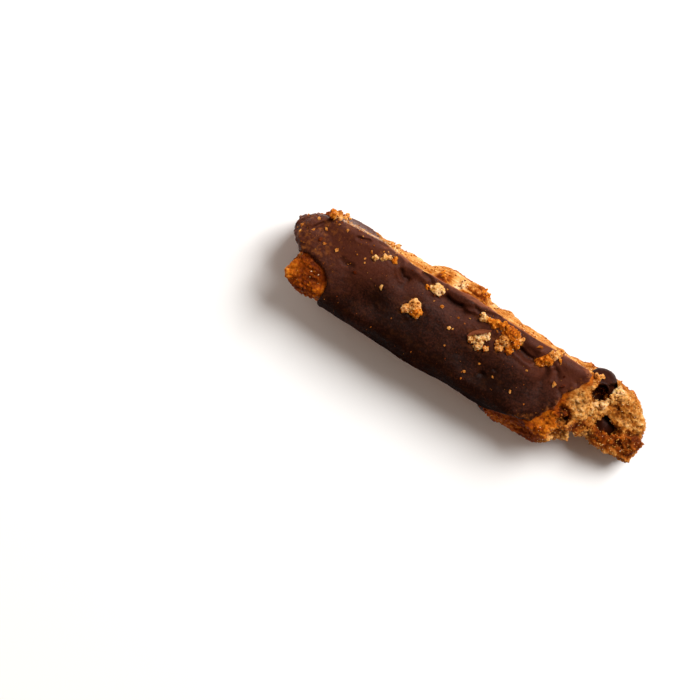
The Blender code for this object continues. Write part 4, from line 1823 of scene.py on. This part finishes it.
@dataclass
class Specks:
    """Single crumbs that lie on the chocolate, some where the photo shows them.

    Attributes:
        shown: (pixel across, pixel down, half size in millimetres, toast) of those that stand out.
        scraped: how many lie along the scraped rim.
        count: how many finer ones are drawn.
        seed: seed of the draws.
    """

    shown: tuple[tuple[float, float, float, Toast], ...] = (
        (371.6, 252.7, 0.5, Toast.PALE),
        (365.0, 258.8, 0.35, Toast.GOLDEN),
        (364.4, 263.0, 0.35, Toast.GOLDEN),
        (383.8, 252.1, 0.3, Toast.PALE),
        (388.5, 252.3, 0.3, Toast.PALE),
        (336.5, 249.7, 0.55, Toast.PALE),
        (320.1, 240.0, 0.75, Toast.BROWN),
        (324.4, 243.6, 0.5, Toast.ORANGE),
        (313.5, 230.3, 0.55, Toast.GOLDEN),
        (326.8, 229.0, 0.5, Toast.PALE),
        (319.0, 219.4, 0.6, Toast.PALE),
        (302.0, 225.0, 0.7, Toast.ORANGE),
        (300.0, 231.0, 0.5, Toast.GOLDEN),
        (334.0, 220.6, 0.4, Toast.ORANGE),
        (340.0, 224.8, 0.4, Toast.ORANGE),
        (348.0, 230.9, 0.45, Toast.GOLDEN),
        (380.7, 287.2, 0.7, Toast.CREAM),
        (354.7, 272.7, 0.6, Toast.BROWN),
        (442.5, 306.6, 0.7, Toast.ORANGE),
        (447.5, 289.5, 0.3, Toast.CREAM),
        (434.0, 301.0, 0.25, Toast.CREAM),
        (458.4, 318.2, 0.4, Toast.GOLDEN),
        (449.4, 327.6, 0.65, Toast.PALE),
        (452.5, 329.0, 0.3, Toast.GOLDEN),
        (470.0, 318.4, 0.25, Toast.PALE),
        (464.5, 323.5, 0.25, Toast.ORANGE),
        (463.9, 371.0, 0.55, Toast.GOLDEN),
        (461.0, 378.5, 0.35, Toast.GOLDEN),
        (492.6, 377.3, 0.35, Toast.PALE),
        (510.3, 391.5, 0.5, Toast.PALE),
        (479.3, 364.0, 0.4, Toast.ORANGE),
        (526.3, 370.3, 0.35, Toast.GOLDEN),
        (554.4, 384.4, 0.75, Toast.GOLDEN),
        (562.8, 386.5, 0.6, Toast.BROWN),
        (563.5, 376.6, 0.45, Toast.BROWN),
        (444.3, 345.6, 0.35, Toast.GOLDEN),
        (539.6, 346.9, 0.75, Toast.ORANGE),
        (496.8, 331.7, 0.45, Toast.ORANGE),
        (524.0, 404.0, 0.35, Toast.GOLDEN),
    )
    scraped: int = 150
    count: int = 260
    seed: int = 31

    def build(self, coat: bpy.types.Object, moulds: list[Mould]) -> bpy.types.Object:
        """Lay the specks on the coat.

        Args:
            coat: the finished coat.
            moulds: the crumbs.

        Returns:
            All the specks as one piece.
        """
        draw = np.random.default_rng(self.seed)
        below = [tree_of(coat)]
        strewing = Strewing(moulds)
        path = np.array(SCRAPE)
        lying = [(np.array(spot[:2]), spot[2], spot[3]) for spot in self.shown]
        for share in draw.random(self.scraped):
            near = np.array([np.interp(share * (len(path) - 1), range(len(path)), c) for c in path.T])
            toast = Toast.CREAM if draw.random() < 0.6 else Toast.GOLDEN
            lying.append((near + draw.normal(size=2) * 0.8, draw.uniform(0.1, 0.26), toast))
        for place, size, toast in lying:
            landed = VIEW.look(below, place)
            if landed is not None:
                spot, way = landed
                tone = (toast.value, 1.0 - toast.value)
                strewing.add(draw, spot + way * size * 0.2, size, tone, 0.55, way)

        def chance(middles: np.ndarray, ways: np.ndarray) -> np.ndarray:
            """Most specks at the scuffed left end and along the rim.

            Args:
                middles: middles of the faces, in millimetres.
                ways: their normals.

            Returns:
                A weight for each face.
            """
            upper = smooth(0.3, 0.8, ways[:, 2]) + 0.25 * smooth(0.3, 0.8, ways[:, 1])
            left = 2.4 * smooth(-30.0, -44.0, middles[:, 0])
            rim = 1.0 * smooth(6.5, 9.5, middles[:, 1])
            return upper * (0.35 + left + rim)

        spots, ways = surface_spots(coat, self.count, draw, chance)
        for spot, way in zip(spots, ways):
            size = 0.08 + 0.2 * draw.random() ** 3
            toast = draw.uniform(Toast.GOLDEN.value, Toast.BROWN.value)
            strewing.add(draw, spot + way * size * 0.35, size, (toast, 1.0 - toast), 0.75, way)
        return strewing.build("crumb_specks")


@dataclass
class LooseGrains:
    """Grains that stand on the bare cookie and the clusters, and sugar that has set among them.

    Attributes:
        grains: how many crumb grains there are on the cookie.
        on_clusters: how many there are on the clusters.
        sugar: how many sugar points there are.
        seed: seed of the draws.
    """

    grains: int = 3000
    on_clusters: int = 700
    sugar: int = 350
    seed: int = 41

    def build(
        self,
        cookie: bpy.types.Object,
        clusters: bpy.types.Object,
        moulds: list[Mould],
        dough: Cookie,
    ) -> tuple[bpy.types.Object, bpy.types.Object]:
        """Strew both kinds.

        Args:
            cookie: the finished cookie.
            clusters: the finished clusters.
            moulds: the crumbs.
            dough: the cookie's zones and smears.

        Returns:
            The grains and the sugar.
        """
        draw = np.random.default_rng(self.seed)

        def chance(middles: np.ndarray, ways: np.ndarray) -> np.ndarray:
            """Nothing underneath or where chocolate is smeared, and little on the cut side.

            Args:
                middles: middles of the faces, in millimetres.
                ways: their normals.

            Returns:
                A weight for each face.
            """
            off_floor = smooth(0.8, 1.8, middles[:, 2]) * (ways[:, 2] > -0.3)
            zones = dough.zones(middles, ways)
            bare = zones[Zone.BAKED] + zones[Zone.INSIDE] + 0.3 * zones[Zone.CUT]
            share = off_floor * bare * (1.0 - dough.smeared(middles))
            return share * smooth(-48.0, -38.0, middles[:, 0])

        def anywhere(middles: np.ndarray, ways: np.ndarray) -> np.ndarray:
            """Everywhere but on what faces down."""
            return (ways[:, 2] > -0.2) * np.ones(len(middles))

        made = []
        for name, count, more, low, high, toasts in (
            ("crumb_grains", self.grains, self.on_clusters, 0.11, 0.3, (0.25, 0.72)),
            ("sugar_points", self.sugar, self.on_clusters // 5, 0.08, 0.17, (0.3, 0.9)),
        ):
            strewing = Strewing(moulds)
            for piece, number, rule in ((cookie, count, chance), (clusters, more, anywhere)):
                spots, ways = surface_spots(piece, number, draw, rule)
                torn = dough.zones(spots, ways)[Zone.INSIDE]
                for spot, way, inside in zip(spots, ways, torn):
                    size = low + (high - low) * draw.random() ** 2
                    tone = (draw.uniform(*toasts), float(inside))
                    strewing.add(draw, spot + way * size * 0.25, size, tone, 0.85)
            made.append(strewing.build(name))
        return made[0], made[1]


@dataclass
class Chips:
    """The chocolate chips, each from its CAD node, softened and set unevenly.

    Attributes:
        nodes: the CAD nodes.
        torn: the one whose side is torn open.
        voxel: voxel of the remesh in millimetres.
        layers: relief of each chip.
    """

    nodes: tuple[str, ...] = ("chip_1", "chip_2", "chip_3", "chip_4")
    torn: str = "chip_1"
    voxel: float = 0.22
    layers: tuple[Relief, ...] = (
        Relief(Pattern.CLOUDS, 3.0, 0.6, level=0.4),
        Relief(Pattern.CLOUDS, 1.1, 0.16, octaves=1, seed=3.0),
    )

    def build(self, node: str) -> bpy.types.Object:
        """Make one chip.

        Args:
            node: the CAD node that it replaces.

        Returns:
            The chip.
        """
        piece = merged_copy(node, node + "_melted")
        remesh(piece, self.voxel)
        apply_modifier(piece, "SMOOTH", factor=0.5, iterations=5)
        if node == self.torn:
            points, back = points_of(piece), VIEW.axes()[2]
            facing = smooth(-0.2, 0.2, normals_of(piece) @ back)
            put_points(piece, points - back * (facing * CHIP_TEAR.drop(points))[:, None])
        press_all(piece, self.layers)
        return piece


# ---------------------------------------------------------------------------------------------
# Table, light and camera
# ---------------------------------------------------------------------------------------------


@dataclass
class Studio:
    """White table, soft light from beyond the cut side, and the camera of the photo.

    Attributes:
        lens: focal length in millimetres.
        sensor: width of the sensor in millimetres.
        key: direction, distance and side in metres, watts and colour of the main light.
        fill: the same for the soft light from the left.
        walls: colour and strength of the room at the height of the bar.
        near: colour of the room on the camera's side, and its share of that strength.
        ceiling: strength of the room overhead, dark so that the chocolate keeps its depth.
    """

    lens: float = 110.0
    sensor: float = 36.0
    key: tuple = ((0.35, 0.95, 1.0), 1.7, 0.8, 40.0, "#fffffd")
    fill: tuple = ((-1.0, 0.1, 0.7), 1.1, 0.8, 2.0, "#fff3e6")
    walls: tuple[str, float] = ("#fffaf4", 0.85)
    near: tuple[str, float] = ("#e0b492", 0.5)
    ceiling: float = 0.08

    def camera(self) -> None:
        """Look down on the bar as the photo does."""
        right, up, back = VIEW.axes()
        off = np.array((VIEW.frame_px / 2 - VIEW.bar_px[0], VIEW.bar_px[1] - VIEW.frame_px / 2))
        off_right, off_up = off / VIEW.scale
        aim = np.array(VIEW.middle) + right * off_right + up * off_up
        distance = VIEW.frame_px / VIEW.scale * self.lens / self.sensor
        data = bpy.data.cameras.new("camera")
        data.lens, data.sensor_width = self.lens, self.sensor
        data.clip_start, data.clip_end = 0.01, 20.0
        camera = new_object("camera", data)
        axes = Matrix((right, up, back)).transposed().to_4x4()
        camera.matrix_world = Matrix.Translation(Vector(aim + back * distance) * MM) @ axes
        bpy.context.scene.camera = camera

    def light(
        self,
        name: str,
        way: tuple[float, float, float],
        far: float,
        size: float,
        power: float,
        colour: str,
    ) -> None:
        """Hang a soft square light that faces the bar.

        Args:
            name: its name.
            way: direction of the light from the bar.
            far: distance in metres.
            size: side of the square in metres.
            power: in watts.
            colour: sRGB colour.
        """
        data = bpy.data.lights.new(name, "AREA")
        data.shape, data.size, data.energy = "SQUARE", size, power
        data.color = linear(colour)[:3]
        lamp = new_object(name, data)
        direction = Vector(way).normalized()
        lamp.location = direction * far
        lamp.rotation_euler = direction.to_track_quat("Z", "Y").to_euler()

    def room(self) -> None:
        """Set pale walls and a darker ceiling round the table."""
        world = bpy.data.worlds.new("studio")
        world.use_nodes = True
        tree = world.node_tree
        colour, strength = self.walls
        near_colour, near_share = self.near
        way = add_node(tree, "TexCoord").outputs["Generated"]
        axes = add_node(tree, "SeparateXYZ", {0: way})
        y, z = axes.outputs["Y"], axes.outputs["Z"]
        dimmed = add_node(
            tree, "MapRange", {"Value": z, 1: 0.3, 2: 0.85, 3: strength, 4: self.ceiling}
        )
        beyond = add_node(tree, "MapRange", {"Value": y, 1: -0.5, 2: 0.3})
        share = add_node(tree, "MapRange", {"Value": y, 1: -0.5, 2: 0.3, 3: near_share})
        shades = {"Factor": beyond, "A": linear(near_colour), "B": linear(colour)}
        inputs = {
            "Color": add_node(tree, "Mix", shades, data_type="RGBA"),
            "Strength": add_node(tree, "Math", {0: dimmed, 1: share}, operation="MULTIPLY"),
        }
        set_inputs(tree, tree.nodes["Background"], inputs)
        bpy.context.scene.world = world

    def table(self) -> None:
        """Lay a wide white table."""
        bpy.ops.object.select_all(action="DESELECT")
        bpy.ops.mesh.primitive_plane_add(size=6.0)
        floor = bpy.context.active_object
        floor.name = "table"
        floor.data.materials.append(PaleTop().build())
        floor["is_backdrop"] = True

    def build(self) -> None:
        """Set up the table, the light and the camera."""
        self.table()
        self.light("key", *self.key)
        self.light("fill", *self.fill)
        self.room()
        bpy.context.scene.view_settings.view_transform = "Standard"
        self.camera()


def write_sizes() -> None:
    """Gather the CAD box and the visual model's box as plain lists; nothing is written out."""
    boxes = {"cad": cad_box, "visual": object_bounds()}
    plain = {name: [list(low), list(high)] for name, (low, high) in boxes.items()}


def main() -> None:
    """Build the bar's pieces in order, give each its material and attach it to the bar."""
    logging.basicConfig(level=logging.INFO, format="%(name)s: %(message)s")
    crumbs = [CrumbMould(seed).model() for seed in range(1, 6)]
    grains = [CrumbMould(seed, detail=1, uneven=0.45, depth=0.55).model() for seed in range(6, 10)]
    baked, sugar = BakedCookie().build(), SetSugar().build()
    chocolate, chip = SetChocolate().build(), BakedChip().build()

    dough = Cookie()
    cookie = hand_in(dough.build(crumbs), baked, Slot.COOKIE, "cookie")
    coat = hand_in(Coat().build(), chocolate, Slot.CHOCOLATE, "chocolate_coat")
    chips = Chips()
    dark_chocolate = [hand_in(chips.build(node), chip, Slot.CHIP, node) for node in chips.nodes]
    clusters = hand_in(StuckCrumbs().build((coat, cookie, *dark_chocolate), crumbs), baked, Slot.COOKIE)
    hand_in(CrumbCap().build(coat), chocolate, Slot.CHOCOLATE)
    hand_in(Specks().build(coat, grains), baked, Slot.COOKIE)
    loose, points = LooseGrains().build(cookie, clusters, grains, dough)
    hand_in(loose, baked, Slot.COOKIE)
    hand_in(points, sugar, Slot.COOKIE)
    Studio().build()
    write_sizes()


if __name__ == "__main__":
    main()
